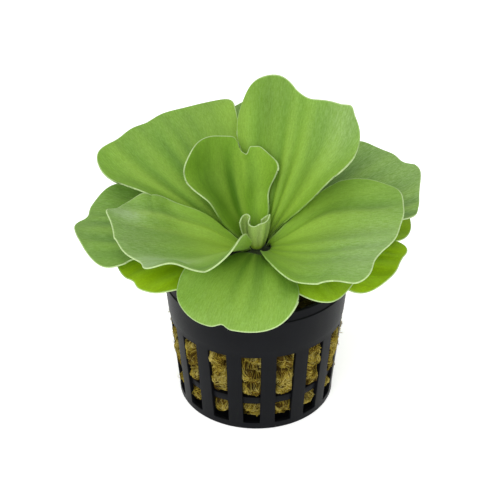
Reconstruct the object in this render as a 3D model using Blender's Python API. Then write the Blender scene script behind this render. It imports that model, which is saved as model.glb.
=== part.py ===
"""A young water lettuce in a slotted net pot that is packed with rock wool.

The origin is the centre of the pot's base, +Z is up, and the front of the plant faces -Y.
Constants are in millimetres and degrees. The meshes are in metres.
"""
import math

import bmesh
import bpy
import numpy as np

MM = 0.001
MERGE_DISTANCE = 0.001
SHARP_ANGLE = 40.0

# Pot wall
BASE_RADIUS = 24.1
LEDGE_RADIUS = 27.5
LEDGE_HEIGHT = 39.9
WALL_THICKNESS = 1.2
WALL_STEP = 0.2
WALL_STEP_HEIGHT = 30.2
WALL_STEP_RISE = 0.5

# Lip above the ledge
LEDGE_WIDTH = 0.35
LIP_LEAN = 0.3
POT_HEIGHT = 42.4

# Side slots and the hoop behind them
SLOT_COUNT = 16
SLOT_TURN = -3.4
SLOT_ANGLE = 12.3
SLOT_FLARE = 1.0
SLOT_BOTTOM = 2.3
SLOT_TOP = 27.7
WALL_COLUMNS = 4
SLOT_COLUMNS = 2
HOOP_BOTTOM = 9.4
HOOP_TOP = 11.8
HOOP_INSET = 0.9
HOOP_DEPTH = 1.5

# Floor slots, one under every second side slot
FLOOR_SLOT_INNER = 5.5
FLOOR_SLOT_OUTER = 15.5
FLOOR_SLOT_EVERY = 2
FLOOR_LEVEL = 0.01

# Rock wool
WOOL_BOTTOM = 1.6
WOOL_TOP = 34.6
WOOL_HEIGHTS = (1.6, 3, 5.5, 8.5, 12, 16, 20, 24, 28, 31.5)
WOOL_HOOP_GAP = 0.5
WOOL_FOOT_RADIUS = 17.0
WOOL_FOOT_HEIGHT = 9.0
WOOL_CORNER = 2.2
WOOL_LUMP = 0.3
LUMP_TURNS = 7
LUMP_RISE = 3.0
WOOL_SIDES = 28

# Crown, a dome with a flat top
CROWN_FLAT = 48.4
CROWN_DOME = 49.9
CROWN_FALL = 0.075
CROWN_RADIUS = 9.6
CROWN_FOOT_RADIUS = 6.5
CROWN_FOOT = 35.2
CROWN_SIDES = 16
CROWN_RINGS = 5

# Leaves
LEAF_THICKNESS = 0.6
LEAF_LIFT = 0.8
LEAF_COLUMNS = 9
LEAF_ROWS = 8
MIDRIB_STEPS = 60
MIDRIB_REACH = 1.35
LOBE_PLACE = 0.5
LOBE_SPREAD = 0.28
CUP_REACH = 0.6
WAVE_START = 0.4
WAVE_COUNT = 2
FLATTEST = 0.00001

# Each leaf grows out of the crown at its azimuth, 0 towards -Y and 90 towards +X.
# Pairs give the left and the right half, as seen along the leaf with its upper face up.
# foot_ values hold where the leaf leaves the crown. foot_reach is the part of the length
# over which foot_pitch fades. flare and widest shape the sides, shoulder, roundness and lobe
# the end. foot_cup and cup are the turn of the blade from the midrib to its edge.
LEAVES = {
    "leaf_heart": dict(
        azimuth=204.5, foot_radius=3.5, length=31.8, swing=-18,
        foot_pitch=82, pitch=54, tip_pitch=61, foot_reach=0.06, roll=(-9.5, -20.5),
        foot_width=1.8, width=(20, 10), flare=(0.85, 1.05), widest=0.76,
        shoulder=(0.66, 0.62), roundness=2.9, lobe=(0.6, -3),
        notch_depth=4.6, notch_width=1.4, notch_power=4, notch_place=0.18,
        foot_cup=41, cup=(17, 58), edge_drop=-1.8,
        wave=2.3, wave_phase=(-180, -35),
    ),
    "leaf_tall": dict(
        azimuth=153, foot_radius=5.5, length=50.2, swing=-4,
        foot_pitch=71, pitch=52, tip_pitch=80, foot_reach=0.05, roll=(18, -13),
        foot_width=2.4, width=(19.4, 23.7), flare=(1.9, 1.05), widest=0.78,
        shoulder=(0.52, 0.48), roundness=3.2, lobe=(-0.3, -3.5),
        notch_depth=5, notch_width=6.3, notch_power=2, notch_place=0.14,
        foot_cup=55, cup=(-3, 11), edge_drop=1.5,
        wave=-2, wave_phase=(-135, -70),
    ),
    "leaf_back_left": dict(
        azimuth=-133, foot_radius=6, length=55.4, swing=-18,
        foot_pitch=66, pitch=28.5, tip_pitch=21.5, foot_reach=0.03, roll=(18, 14.5),
        foot_width=2.4, width=(27.5, 26.5), flare=(1.55, 0.95), widest=1,
        shoulder=(0.62, 0.76), roundness=2.3, lobe=(-2.8, -0.7),
        notch_depth=1.3, notch_width=4, notch_power=2, notch_place=-0.04,
        foot_cup=14, cup=(26, 11), edge_drop=-0.6,
        wave=2.2, wave_phase=(120, -95),
    ),
    "leaf_left": dict(
        azimuth=-58, foot_radius=4.6, length=41.4, swing=-14.5,
        foot_pitch=62, pitch=13.5, tip_pitch=22.5, foot_reach=0.03, roll=(-4, 13),
        foot_width=2.4, width=(25.6, 21.7), flare=(1.9, 1.9), widest=0.5,
        shoulder=(0.9, 0.66), roundness=1.1, lobe=(-3.6, 3.6),
        notch_depth=0.4, notch_width=2.6, notch_power=2, notch_place=-0.08,
        foot_cup=94, cup=(37, 0), edge_drop=-1.8,
        wave=2.2, wave_phase=(-155, 0),
    ),
    "leaf_right": dict(
        azimuth=69, foot_radius=4.2, length=42.8, swing=-5.5,
        foot_pitch=92, pitch=21.5, tip_pitch=19, foot_reach=0.02, roll=(-11.5, -12),
        foot_width=2.4, width=(22.6, 25.6), flare=(1.9, 0.75), widest=0.46,
        shoulder=(0.56, 0.84), roundness=2.9, lobe=(-1.6, -3.4),
        notch_depth=1.2, notch_width=5.4, notch_power=2, notch_place=-0.08,
        foot_cup=68, cup=(24, 21), edge_drop=1.8,
        wave=1.1, wave_phase=(30, -45),
    ),
    "leaf_front": dict(
        azimuth=-4, foot_radius=5.2, length=34.4, swing=-17,
        foot_pitch=97, pitch=21.5, tip_pitch=-45, foot_reach=0.04, roll=(7, -12),
        foot_width=1.8, width=(18.5, 23.9), flare=(0.85, 1.15), widest=1,
        shoulder=(0.74, 0.42), roundness=2.3, lobe=(0, 1.3),
        notch_depth=1.2, notch_width=1.8, notch_power=2, notch_place=0.14,
        foot_cup=4, cup=(18, 27), edge_drop=1.3,
        wave=1.5, wave_phase=(-125, 105),
    ),
    "leaf_back_middle": dict(
        azimuth=-163, foot_radius=7, length=52.2, swing=4.5,
        foot_pitch=59, pitch=32, tip_pitch=28.5, foot_reach=0.06, roll=(8, 11.5),
        foot_width=2.4, width=(14.8, 15.8), flare=(1, 1.1), widest=0.78,
        shoulder=(0.54, 0.84), roundness=2.1, lobe=(0, -3.2),
        notch_depth=1.5, notch_width=3, notch_power=2, notch_place=0,
        foot_cup=8, cup=(3, 20), edge_drop=-0.1,
        wave=-0.3, wave_phase=(0, 0),
    ),
    "leaf_back_right": dict(
        azimuth=113, foot_radius=7, length=54, swing=9.5,
        foot_pitch=55, pitch=27, tip_pitch=7, foot_reach=0.08, roll=(2.5, -14),
        foot_width=2.4, width=(20.9, 21.6), flare=(1.2, 1.1), widest=0.72,
        shoulder=(0.66, 0.5), roundness=1.1, lobe=(-1.4, -1.8),
        notch_depth=2.9, notch_width=3.8, notch_power=2, notch_place=-0.12,
        foot_cup=37, cup=(5, 2), edge_drop=-0.2,
        wave=-2.2, wave_phase=(15, -115),
    ),
    "leaf_far_left": dict(
        azimuth=-101.5, foot_radius=7.4, length=49, swing=8,
        foot_pitch=55, pitch=11, tip_pitch=0, foot_reach=0.08, roll=(-4, -8),
        foot_width=2.4, width=(22.9, 22), flare=(1.3, 0.8), widest=0.72,
        shoulder=(0.58, 0.66), roundness=1.8, lobe=(-0.3, -1.4),
        notch_depth=2.7, notch_width=4.5, notch_power=2, notch_place=0.12,
        foot_cup=35, cup=(-21, 48), edge_drop=0.4,
        wave=1.9, wave_phase=(65, 115),
    ),
    "leaf_rear_right": dict(
        azimuth=140, foot_radius=8, length=42.8, swing=6,
        foot_pitch=62, pitch=13.5, tip_pitch=-2, foot_reach=0.05, roll=(-17.5, -14.5),
        foot_width=2.4, width=(20.5, 14.8), flare=(1.1, 0.8), widest=0.46,
        shoulder=(0.84, 0.6), roundness=2.1, lobe=(0, 0.3),
        notch_depth=1.5, notch_width=3, notch_power=2, notch_place=0,
        foot_cup=0, cup=(28, -4), edge_drop=-0.4,
        wave=1.4, wave_phase=(5, -80),
    ),
    "leaf_rear_left": dict(
        azimuth=-123.5, foot_radius=8.5, length=38.6, swing=0,
        foot_pitch=55, pitch=11, tip_pitch=-4, foot_reach=0.05, roll=(0.5, 0),
        foot_width=2.4, width=(13, 12.9), flare=(1, 1.05), widest=0.76,
        shoulder=(0.56, 0.62), roundness=2, lobe=(0, 0),
        notch_depth=1, notch_width=3, notch_power=2, notch_place=0,
        foot_cup=31, cup=(2, 2), edge_drop=0,
        wave=0.5, wave_phase=(0, 0),
    ),
    "leaf_low_left": dict(
        azimuth=-67, foot_radius=8, length=34, swing=2,
        foot_pitch=59, pitch=20.5, tip_pitch=-18, foot_reach=0.07, roll=(-5.5, 5.5),
        foot_width=2.4, width=(14.3, 18.1), flare=(1.2, 1), widest=0.9,
        shoulder=(0.4, 0.66), roundness=2.3, lobe=(-0.4, 0.6),
        notch_depth=1.3, notch_width=3.1, notch_power=2, notch_place=-0.16,
        foot_cup=22, cup=(-17, -5), edge_drop=0.4,
        wave=-0.6, wave_phase=(110, -30),
    ),
    "leaf_low_right": dict(
        azimuth=108.5, foot_radius=8.5, length=43.2, swing=10.5,
        foot_pitch=53, pitch=11.5, tip_pitch=-5, foot_reach=0.05, roll=(-16, -5),
        foot_width=2.4, width=(12.7, 12.4), flare=(1.15, 1), widest=0.86,
        shoulder=(0.54, 0.58), roundness=2.3, lobe=(0, -0.4),
        notch_depth=-1, notch_width=2.5, notch_power=2, notch_place=0,
        foot_cup=19, cup=(3, 1), edge_drop=-0.2,
        wave=1.2, wave_phase=(10, -10),
    ),
    "leaf_low_right_front": dict(
        azimuth=78, foot_radius=8, length=38, swing=0.5,
        foot_pitch=57, pitch=9, tip_pitch=0, foot_reach=0.07, roll=(-6, -12),
        foot_width=2.4, width=(11.9, 16), flare=(1, 1.2), widest=0.76,
        shoulder=(0.36, 0.44), roundness=1.9, lobe=(0.8, -1.1),
        notch_depth=2.2, notch_width=4.6, notch_power=2, notch_place=0.1,
        foot_cup=19, cup=(-13, -14), edge_drop=0.2,
        wave=-1.3, wave_phase=(-70, -60),
    ),
    "leaf_low_front": dict(
        azimuth=42, foot_radius=7.5, length=27.8, swing=-8,
        foot_pitch=60, pitch=26.5, tip_pitch=-27.5, foot_reach=0.08, roll=(-1.5, -0.5),
        foot_width=2.4, width=(14.2, 9.6), flare=(1, 1), widest=0.74,
        shoulder=(0.62, 0.48), roundness=2, lobe=(-0.3, 0.2),
        notch_depth=-0.4, notch_width=2.9, notch_power=2, notch_place=-0.02,
        foot_cup=30, cup=(-1, -4), edge_drop=-0.2,
        wave=0.2, wave_phase=(-5, -50),
    ),
}

YOUNG_LEAF = dict(
    azimuth=5, foot_radius=0.8, length=7.4, swing=0,
    foot_pitch=90, pitch=86, tip_pitch=70, foot_reach=0.3, roll=(0, 0),
    foot_width=2.2, width=(7.6, 6.6), flare=(0.9, 0.9), widest=0.9,
    shoulder=(1.15, 1.15), roundness=3, lobe=(0.2, 0.5),
    notch_depth=0.6, notch_width=1.5, notch_power=2, notch_place=0.1,
    foot_cup=85, cup=(85, 72), edge_drop=0,
    wave=0.5, wave_phase=(40, 160),
)

# Roughness and colours
POT_ROUGHNESS = 0.45
WOOL_ROUGHNESS = 0.95
CROWN_ROUGHNESS = 0.7
LEAF_ROUGHNESS = 0.6
POT_BLACK = (0.028, 0.03, 0.034)
WOOL_YELLOW = (0.26, 0.18, 0.035)
CROWN_GREEN = (0.12, 0.2, 0.03)
LEAF_GREEN = (0.19, 0.38, 0.06)
OLD_LEAF_GREEN = (0.11, 0.26, 0.05)
YELLOW_LEAF_GREEN = (0.28, 0.36, 0.02)
YOUNG_LEAF_GREEN = (0.3, 0.48, 0.12)
LEAF_COLOURS = {
    "leaf_far_left": OLD_LEAF_GREEN,
    "leaf_back_right": OLD_LEAF_GREEN,
    "leaf_back_middle": OLD_LEAF_GREEN,
    "leaf_rear_right": OLD_LEAF_GREEN,
    "leaf_rear_left": OLD_LEAF_GREEN,
    "leaf_low_left": YELLOW_LEAF_GREEN,
    "leaf_low_right": YELLOW_LEAF_GREEN,
    "leaf_low_right_front": YELLOW_LEAF_GREEN,
    "leaf_low_front": YELLOW_LEAF_GREEN,
}


def clear_scene():
    for item in list(bpy.data.objects):
        bpy.data.objects.remove(item, do_unlink=True)


def material(name, colour, roughness):
    """A plain material of one colour."""
    made = bpy.data.materials.new(name)
    made.use_nodes = True
    shader = made.node_tree.nodes["Principled BSDF"]
    shader.inputs["Base Color"].default_value = (*colour, 1.0)
    shader.inputs["Roughness"].default_value = roughness
    shader.inputs["Metallic"].default_value = 0.0
    return made


def add_object(name, bm, surface):
    """Turn a bmesh in millimetres into a smooth-shaded object in metres."""
    bmesh.ops.scale(bm, vec=(MM, MM, MM), verts=bm.verts)
    mesh = bpy.data.meshes.new(name)
    bm.to_mesh(mesh)
    bm.free()
    mesh.shade_smooth()
    mesh.set_sharp_from_angle(angle=math.radians(SHARP_ANGLE))
    mesh.materials.append(surface)
    made = bpy.data.objects.new(name, mesh)
    bpy.context.scene.collection.objects.link(made)
    return made


def spin_profile(points, steps, closed=False):
    """Turn a profile of (radius, height) points once around the Z axis."""
    bm = bmesh.new()
    verts = [bm.verts.new((radius, 0.0, height)) for radius, height in points]
    edges = [bm.edges.new(pair) for pair in zip(verts, verts[1:])]
    if closed:
        edges.append(bm.edges.new((verts[-1], verts[0])))
    bmesh.ops.spin(
        bm, geom=verts + edges, cent=(0, 0, 0), axis=(0, 0, 1),
        angle=math.tau, steps=steps, use_merge=True,
    )
    bmesh.ops.remove_doubles(bm, verts=bm.verts, dist=MERGE_DISTANCE)
    bmesh.ops.recalc_face_normals(bm, faces=bm.faces)
    return bm


def wall_radius(height):
    """Outer radius of the tapered pot wall."""
    taper = BASE_RADIUS + (LEDGE_RADIUS - BASE_RADIUS) * height / LEDGE_HEIGHT
    return taper if height >= WALL_STEP_HEIGHT else taper - WALL_STEP * min(1.0, height / SLOT_BOTTOM)


def shell_profile():
    """Outer face of the pot from the middle of the floor to the top of the lip."""
    heights = (0.0, SLOT_BOTTOM, SLOT_TOP, WALL_STEP_HEIGHT - WALL_STEP_RISE, WALL_STEP_HEIGHT, LEDGE_HEIGHT)
    lip_radius = LEDGE_RADIUS - LEDGE_WIDTH
    floor = [(0.0, 0.0), (FLOOR_SLOT_INNER, 0.0), (FLOOR_SLOT_OUTER, 0.0)]
    wall = [(wall_radius(height), height) for height in heights]
    lip = [(lip_radius, LEDGE_HEIGHT), (lip_radius - LIP_LEAN, POT_HEIGHT)]
    return floor + wall + lip


def slot_angle(height):
    """Angle that a slot spans, which grows a little with the height."""
    return SLOT_ANGLE + SLOT_FLARE * (min(height, SLOT_TOP) / SLOT_TOP - 0.5)


def column_angle(column, height):
    """Angle of a wall column's first edge, with the columns of each slot spread over the slot."""
    pitch = 360.0 / SLOT_COUNT
    span = slot_angle(height)
    slot, place = divmod(column, WALL_COLUMNS)
    if place <= SLOT_COLUMNS:
        offset = span * (place / SLOT_COLUMNS - 0.5)
    else:
        bar = (place - SLOT_COLUMNS) / (WALL_COLUMNS - SLOT_COLUMNS)
        offset = span / 2 + (pitch - span) * bar
    return SLOT_TURN + slot * pitch + offset


def set_columns(bm, columns):
    """Move the evenly spun columns to the edges of the slots."""
    for vert in bm.verts:
        radius = math.hypot(vert.co.x, vert.co.y)
        column = round(math.atan2(vert.co.y, vert.co.x) / math.tau * columns) % columns
        angle = math.radians(column_angle(column, vert.co.z) - 90.0)
        vert.co.x = radius * math.cos(angle)
        vert.co.y = radius * math.sin(angle)


def face_place(face):
    """Slot number, column within the slot's share of the wall, radius and height of a face."""
    centre = face.calc_center_median()
    span = slot_angle(centre.z)
    angle = math.degrees(math.atan2(centre.x, -centre.y)) - SLOT_TURN + span / 2
    slot, rest = divmod(angle % 360.0, 360.0 / SLOT_COUNT)
    return int(slot), rest < span, math.hypot(centre.x, centre.y), centre.z


def is_slot(face):
    slot, in_slot, radius, height = face_place(face)
    side = SLOT_BOTTOM < height < SLOT_TOP
    low = height < FLOOR_LEVEL and slot % FLOOR_SLOT_EVERY == 0
    floor = low and FLOOR_SLOT_INNER < radius < FLOOR_SLOT_OUTER
    return in_slot and (side or floor)


def make_pot(surface):
    columns = SLOT_COUNT * WALL_COLUMNS
    bm = spin_profile(shell_profile(), columns)
    set_columns(bm, columns)
    bmesh.ops.delete(bm, geom=[face for face in bm.faces if is_slot(face)], context="FACES")
    pot = add_object("pot", bm, surface)
    shell = pot.modifiers.new("wall", "SOLIDIFY")
    shell.thickness = WALL_THICKNESS * MM
    shell.offset = -1.0
    shell.use_even_offset = True
    outer = wall_radius(HOOP_BOTTOM) - HOOP_INSET
    section = [
        (outer, HOOP_BOTTOM), (outer + wall_radius(HOOP_TOP) - wall_radius(HOOP_BOTTOM), HOOP_TOP),
        (outer - HOOP_DEPTH, HOOP_TOP), (outer - HOOP_DEPTH, HOOP_BOTTOM),
    ]
    hoop = add_object("hoop_shape", spin_profile(section, columns, closed=True), surface)
    hoop.hide_render = True
    hoop.display_type = "WIRE"
    join = pot.modifiers.new("hoop", "BOOLEAN")
    join.operation = "UNION"
    join.solver = "EXACT"
    join.object = hoop
    return pot


def wool_radius(height):
    """Radius of the plug, which narrows and rounds off towards the floor."""
    full = wall_radius(height) - HOOP_INSET - HOOP_DEPTH - WOOL_HOOP_GAP
    rise = min(1.0, (height - WOOL_BOTTOM) / WOOL_FOOT_HEIGHT)
    return WOOL_FOOT_RADIUS + (full - WOOL_FOOT_RADIUS) * math.sqrt(1 - (1 - rise) ** 2)


def make_rock_wool(surface):
    """A lumpy plug with a flat top, cut off slantwise at its upper rim."""
    side = [(wool_radius(height), height) for height in WOOL_HEIGHTS]
    rim = (side[-1][0] - WOOL_CORNER, WOOL_TOP)
    bm = spin_profile([(0.0, WOOL_BOTTOM)] + side + [rim, (0.0, WOOL_TOP)], WOOL_SIDES)
    for vert in bm.verts:
        turn = math.atan2(vert.co.y, vert.co.x)
        radius = math.hypot(vert.co.x, vert.co.y)
        wave = math.sin(LUMP_TURNS * turn + vert.co.z / LUMP_RISE)
        shrunk = max(0.0, radius - WOOL_LUMP * (1 - wave))
        vert.co.x = shrunk * math.cos(turn)
        vert.co.y = shrunk * math.sin(turn)
    return add_object("rock_wool", bm, surface)


def crown_height(radius):
    """Height of the crown's upper face, which the leaves stand on."""
    return min(CROWN_FLAT, CROWN_DOME - CROWN_FALL * radius ** 2)


def make_crown(surface):
    """The short stem: a dome that the leaves stand on, narrowing down to the rock wool."""
    radii = [CROWN_RADIUS * ring / CROWN_RINGS for ring in range(CROWN_RINGS + 1)]
    dome = [(radius, crown_height(radius)) for radius in radii]
    foot = [(CROWN_FOOT_RADIUS, CROWN_FOOT), (0.0, CROWN_FOOT)]
    return add_object("crown", spin_profile(dome + foot, CROWN_SIDES), surface)


def midrib(leaf):
    """Places and directions along the middle of a leaf, at even steps of its length."""
    reach = np.linspace(0.0, MIDRIB_REACH, MIDRIB_STEPS)
    fade = np.exp(-reach / leaf["foot_reach"])
    pitch = leaf["pitch"] + (leaf["tip_pitch"] - leaf["pitch"]) * reach
    pitch = np.radians(pitch + (leaf["foot_pitch"] - leaf["pitch"]) * fade)[:, None]
    heading = np.radians(leaf["azimuth"] + leaf["swing"] * reach)
    roll = np.radians(leaf["roll"][0] + (leaf["roll"][1] - leaf["roll"][0]) * reach)[:, None]
    level = np.zeros_like(heading)
    outward = np.stack([np.sin(heading), -np.cos(heading), level], axis=1)
    right = np.stack([-np.cos(heading), -np.sin(heading), level], axis=1)
    forward = outward * np.cos(pitch) + np.array([0.0, 0.0, 1.0]) * np.sin(pitch)
    upper = np.cross(right, forward)
    step = leaf["length"] * MIDRIB_REACH / (MIDRIB_STEPS - 1)
    place = np.zeros_like(forward)
    place[1:] = np.cumsum((forward[1:] + forward[:-1]) / 2 * step, axis=0)
    radius = leaf["foot_radius"]
    place += outward[0] * radius
    place[:, 2] += crown_height(radius) + LEAF_LIFT
    return (
        reach * leaf["length"], place,
        right * np.cos(roll) + upper * np.sin(roll),
        upper * np.cos(roll) - right * np.sin(roll),
    )


def leaf_surface(leaf, along, across):
    """Points of the leaf's upper face. along runs from 0 to 1, across from -1 (left) to 1 (right)."""
    def half(name):
        return np.where(across >= 0, leaf[name][1], leaf[name][0])

    offset = np.abs(across)
    shoulder = half("shoulder")
    rounding = np.sqrt(np.clip(1 - offset ** leaf["roundness"], 0, 1))
    end = leaf["length"] * (shoulder + (1 - shoulder) * rounding)
    end += half("lobe") * np.exp(-((offset - LOBE_PLACE) / LOBE_SPREAD) ** 2) * np.sqrt(rounding)
    from_notch = (across - leaf["notch_place"]) * leaf["width"][1] / leaf["notch_width"]
    end -= leaf["notch_depth"] * np.exp(-np.abs(from_notch) ** leaf["notch_power"])
    distance = along * end
    part = distance / leaf["length"]
    spread = np.sin(math.pi / 2 * np.clip(part / leaf["widest"], 0, 1)) ** half("flare")
    half_width = leaf["foot_width"] + (half("width") - leaf["foot_width"]) * spread
    cup = leaf["foot_cup"] + (half("cup") - leaf["foot_cup"]) * np.clip(part / CUP_REACH, 0, 1)
    bend = np.radians(cup) / half_width
    bend = np.where(np.abs(bend) < FLATTEST, FLATTEST, bend)
    arc = offset * half_width
    sideways = np.sin(bend * arc) / bend * np.sign(across)
    grown = np.clip(part / WAVE_START, 0, 1)
    ripple = np.sin(math.tau * WAVE_COUNT * part + np.radians(half("wave_phase")))
    lift = (1 - np.cos(bend * arc)) / bend
    lift += leaf["wave"] * offset ** 2 * grown * ripple - leaf["edge_drop"] * offset ** 4 * grown
    stations, place, right, upper = midrib(leaf)

    def at(values):
        return np.stack([np.interp(distance, stations, values[:, axis]) for axis in range(3)], axis=-1)

    return at(place) + at(right) * sideways[:, None] + at(upper) * lift[:, None]


def make_leaf(name, leaf, surface):
    """A thin closed blade below its upper face."""
    bm = bmesh.new()
    bmesh.ops.create_grid(bm, x_segments=LEAF_COLUMNS, y_segments=LEAF_ROWS, size=1.0)
    flat = np.array([vert.co for vert in bm.verts])
    along = (flat[:, 0] + 1) / 2
    across = -np.sin(flat[:, 1] * math.pi / 2)
    for vert, point in zip(bm.verts, leaf_surface(leaf, along, across)):
        vert.co = point
    made = add_object(name, bm, surface)
    blade = made.modifiers.new("blade", "SOLIDIFY")
    blade.thickness = LEAF_THICKNESS * MM
    blade.offset = -1.0
    return made


def main():
    clear_scene()
    make_pot(material("pot black", POT_BLACK, POT_ROUGHNESS))
    make_rock_wool(material("rock wool", WOOL_YELLOW, WOOL_ROUGHNESS))
    make_crown(material("crown green", CROWN_GREEN, CROWN_ROUGHNESS))
    for name, leaf in LEAVES.items():
        make_leaf(name, leaf, material(name, LEAF_COLOURS.get(name, LEAF_GREEN), LEAF_ROUGHNESS))
    make_leaf("leaf_young", YOUNG_LEAF, material("leaf_young", YOUNG_LEAF_GREEN, LEAF_ROUGHNESS))


main()
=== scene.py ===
"""A young water lettuce in a slotted net pot, finished for the studio."""
import math
import random

import bmesh
import bpy
import numpy as np
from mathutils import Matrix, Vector, kdtree, noise


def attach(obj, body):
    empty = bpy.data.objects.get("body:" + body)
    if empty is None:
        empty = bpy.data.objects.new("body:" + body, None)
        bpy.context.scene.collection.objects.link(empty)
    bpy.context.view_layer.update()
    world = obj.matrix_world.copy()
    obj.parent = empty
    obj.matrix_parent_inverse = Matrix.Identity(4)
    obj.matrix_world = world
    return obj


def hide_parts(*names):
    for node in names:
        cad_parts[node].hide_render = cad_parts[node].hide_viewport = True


bl_info = {
    "name": "Water Lettuce",
    "version": (1, 0, 0),
    "blender": (4, 5, 0),
    "location": "3D View > Sidebar > Plant",
    "description": "Builds a potted water lettuce on its packed frame",
    "category": "Add Mesh",
}

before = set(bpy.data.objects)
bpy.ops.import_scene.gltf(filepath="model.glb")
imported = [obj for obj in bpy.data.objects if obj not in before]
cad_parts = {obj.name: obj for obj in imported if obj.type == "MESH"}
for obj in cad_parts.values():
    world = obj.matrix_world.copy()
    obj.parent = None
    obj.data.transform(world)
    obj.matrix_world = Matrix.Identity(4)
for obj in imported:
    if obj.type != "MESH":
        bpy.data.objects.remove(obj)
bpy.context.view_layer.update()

# Shapes are worked out in millimetres, and scaled to metres when a piece is finished
MM = 0.001
ROOT = "root"

# Crown, which the leaves stand on
CROWN_FLAT = 48.4
CROWN_DOME = 49.9
CROWN_FALL = 0.075
LEAF_LIFT = 0.8

# Leaf shape, the same rules as the solids follow. FLATTEST is the least bend that is worked
# with, in radians per millimetre.
MIDRIB_STEPS = 60
MIDRIB_REACH = 1.35
LOBE_PLACE = 0.5
LOBE_SPREAD = 0.28
CUP_REACH = 0.6
WAVE_START = 0.4
WAVE_COUNT = 2
FLATTEST = 0.00001

# Ribs: size, turns and phase of each way they wander and of their unevenness, their
# strength, how they crowd round the midrib, and where along the blade they end
RIB_WANDERS = ((0.1, 2.9, 1), (0.05, 7.3, 2))
RIB_UNEVENNESS = (0.35, 4.1, 3)
RIB_STRENGTH = 0.65
RIB_CROWDING = 0.9
RIB_END = 0.95
RIB_RISE = 0.7

# Young leaf: how its rim is softened, and how it widens upwards
RIM_SOFTENING = (-0.06, -0.03, 0.0, 0.03, 0.06)
YOUNG_FLARE = 0.6

# Rim: how far its rounding and the ripples reach, in blade thicknesses and in millimetres,
# and how close two points are welded
RIM_ROUNDING = 0.6
RIPPLE_START = 2
RIM_WELD = 0.0005

# Marks that every blade has: where they start and how far they reach, in shares of its length, and how
# strong they are. The root and the foot get painted shade, the pale rim fades towards the foot as painted
# shade, and the haze of hairs grows along the blade, partly as painted sheen
ROOT_REACH = 0.13
ROOT_STRENGTH = 0.8
FOOT_REACH = 0.1
FOOT_PAINTED_SHADE = 0.6
RIM_START = 0.12
RIM_GROWTH = 0.3
RIM_LEAST = 0.15
HAZE_START = 0.15
HAZE_GROWTH = 0.8

# Noises on a blade: cycles per millimetre across and along it, detail and roughness
HAIRS = ((2.4, 0.45, 1), 5.0, 0.65)
GRAIN = ((3.5, 1.8, 1), 3.0, 0.6)
PATCHES = ((0.3, 0.045, 1), 3.0, 0.55)
ROOT_HAIRS = ((1.6, 0.15, 1), 3.0, 0.7)

# What they and the marks do: a low and a high value, and the amounts at both
PATCHES_TO_DEEP = (0.42, 0.7, 0.0, 0.35)
# Painted light on the rib ridges, and painted shade in the rib valleys
RIDGES_TO_PAINTED_LIGHT = (-0.8, 1.0, 0.0, 0.45)
VALLEYS_TO_PAINTED_SHADE = (-1.0, -0.1, 0.3, 0.0)
# The hairs streak the haze, which is partly painted sheen, and the painted shade at the root
HAIRS_TO_HAZE = (0.3, 0.7, 0.6, 1.3)
HAIRS_TO_ROOT = (0.35, 0.6, 1.0, 0.35)
EDGE_TO_RIM = (0.06, 0.4, 0.9, 0.0)
GRAIN_TO_SPECKLE = (0.7, 1.3, 0.88, 1.12)

# Blade surface: the bump is a strength and a depth in millimetres, the share of the colour that is left at
# the root is the painted shade there, and LIGHT_THROUGH the share of the light that comes through
LEAF_ROUGHNESS = 0.6
LEAF_SPECULAR = 0.25
ROOT_PAINTED_SHADE = 0.1
SHEEN = 0.08
SHEEN_ROUGHNESS = 0.35
SHEEN_TINT = (0.9, 1.0, 0.85, 1.0)
HAIR_BUMP = (0.3, 0.1)
LIGHT_THROUGH = 0.3

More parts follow.
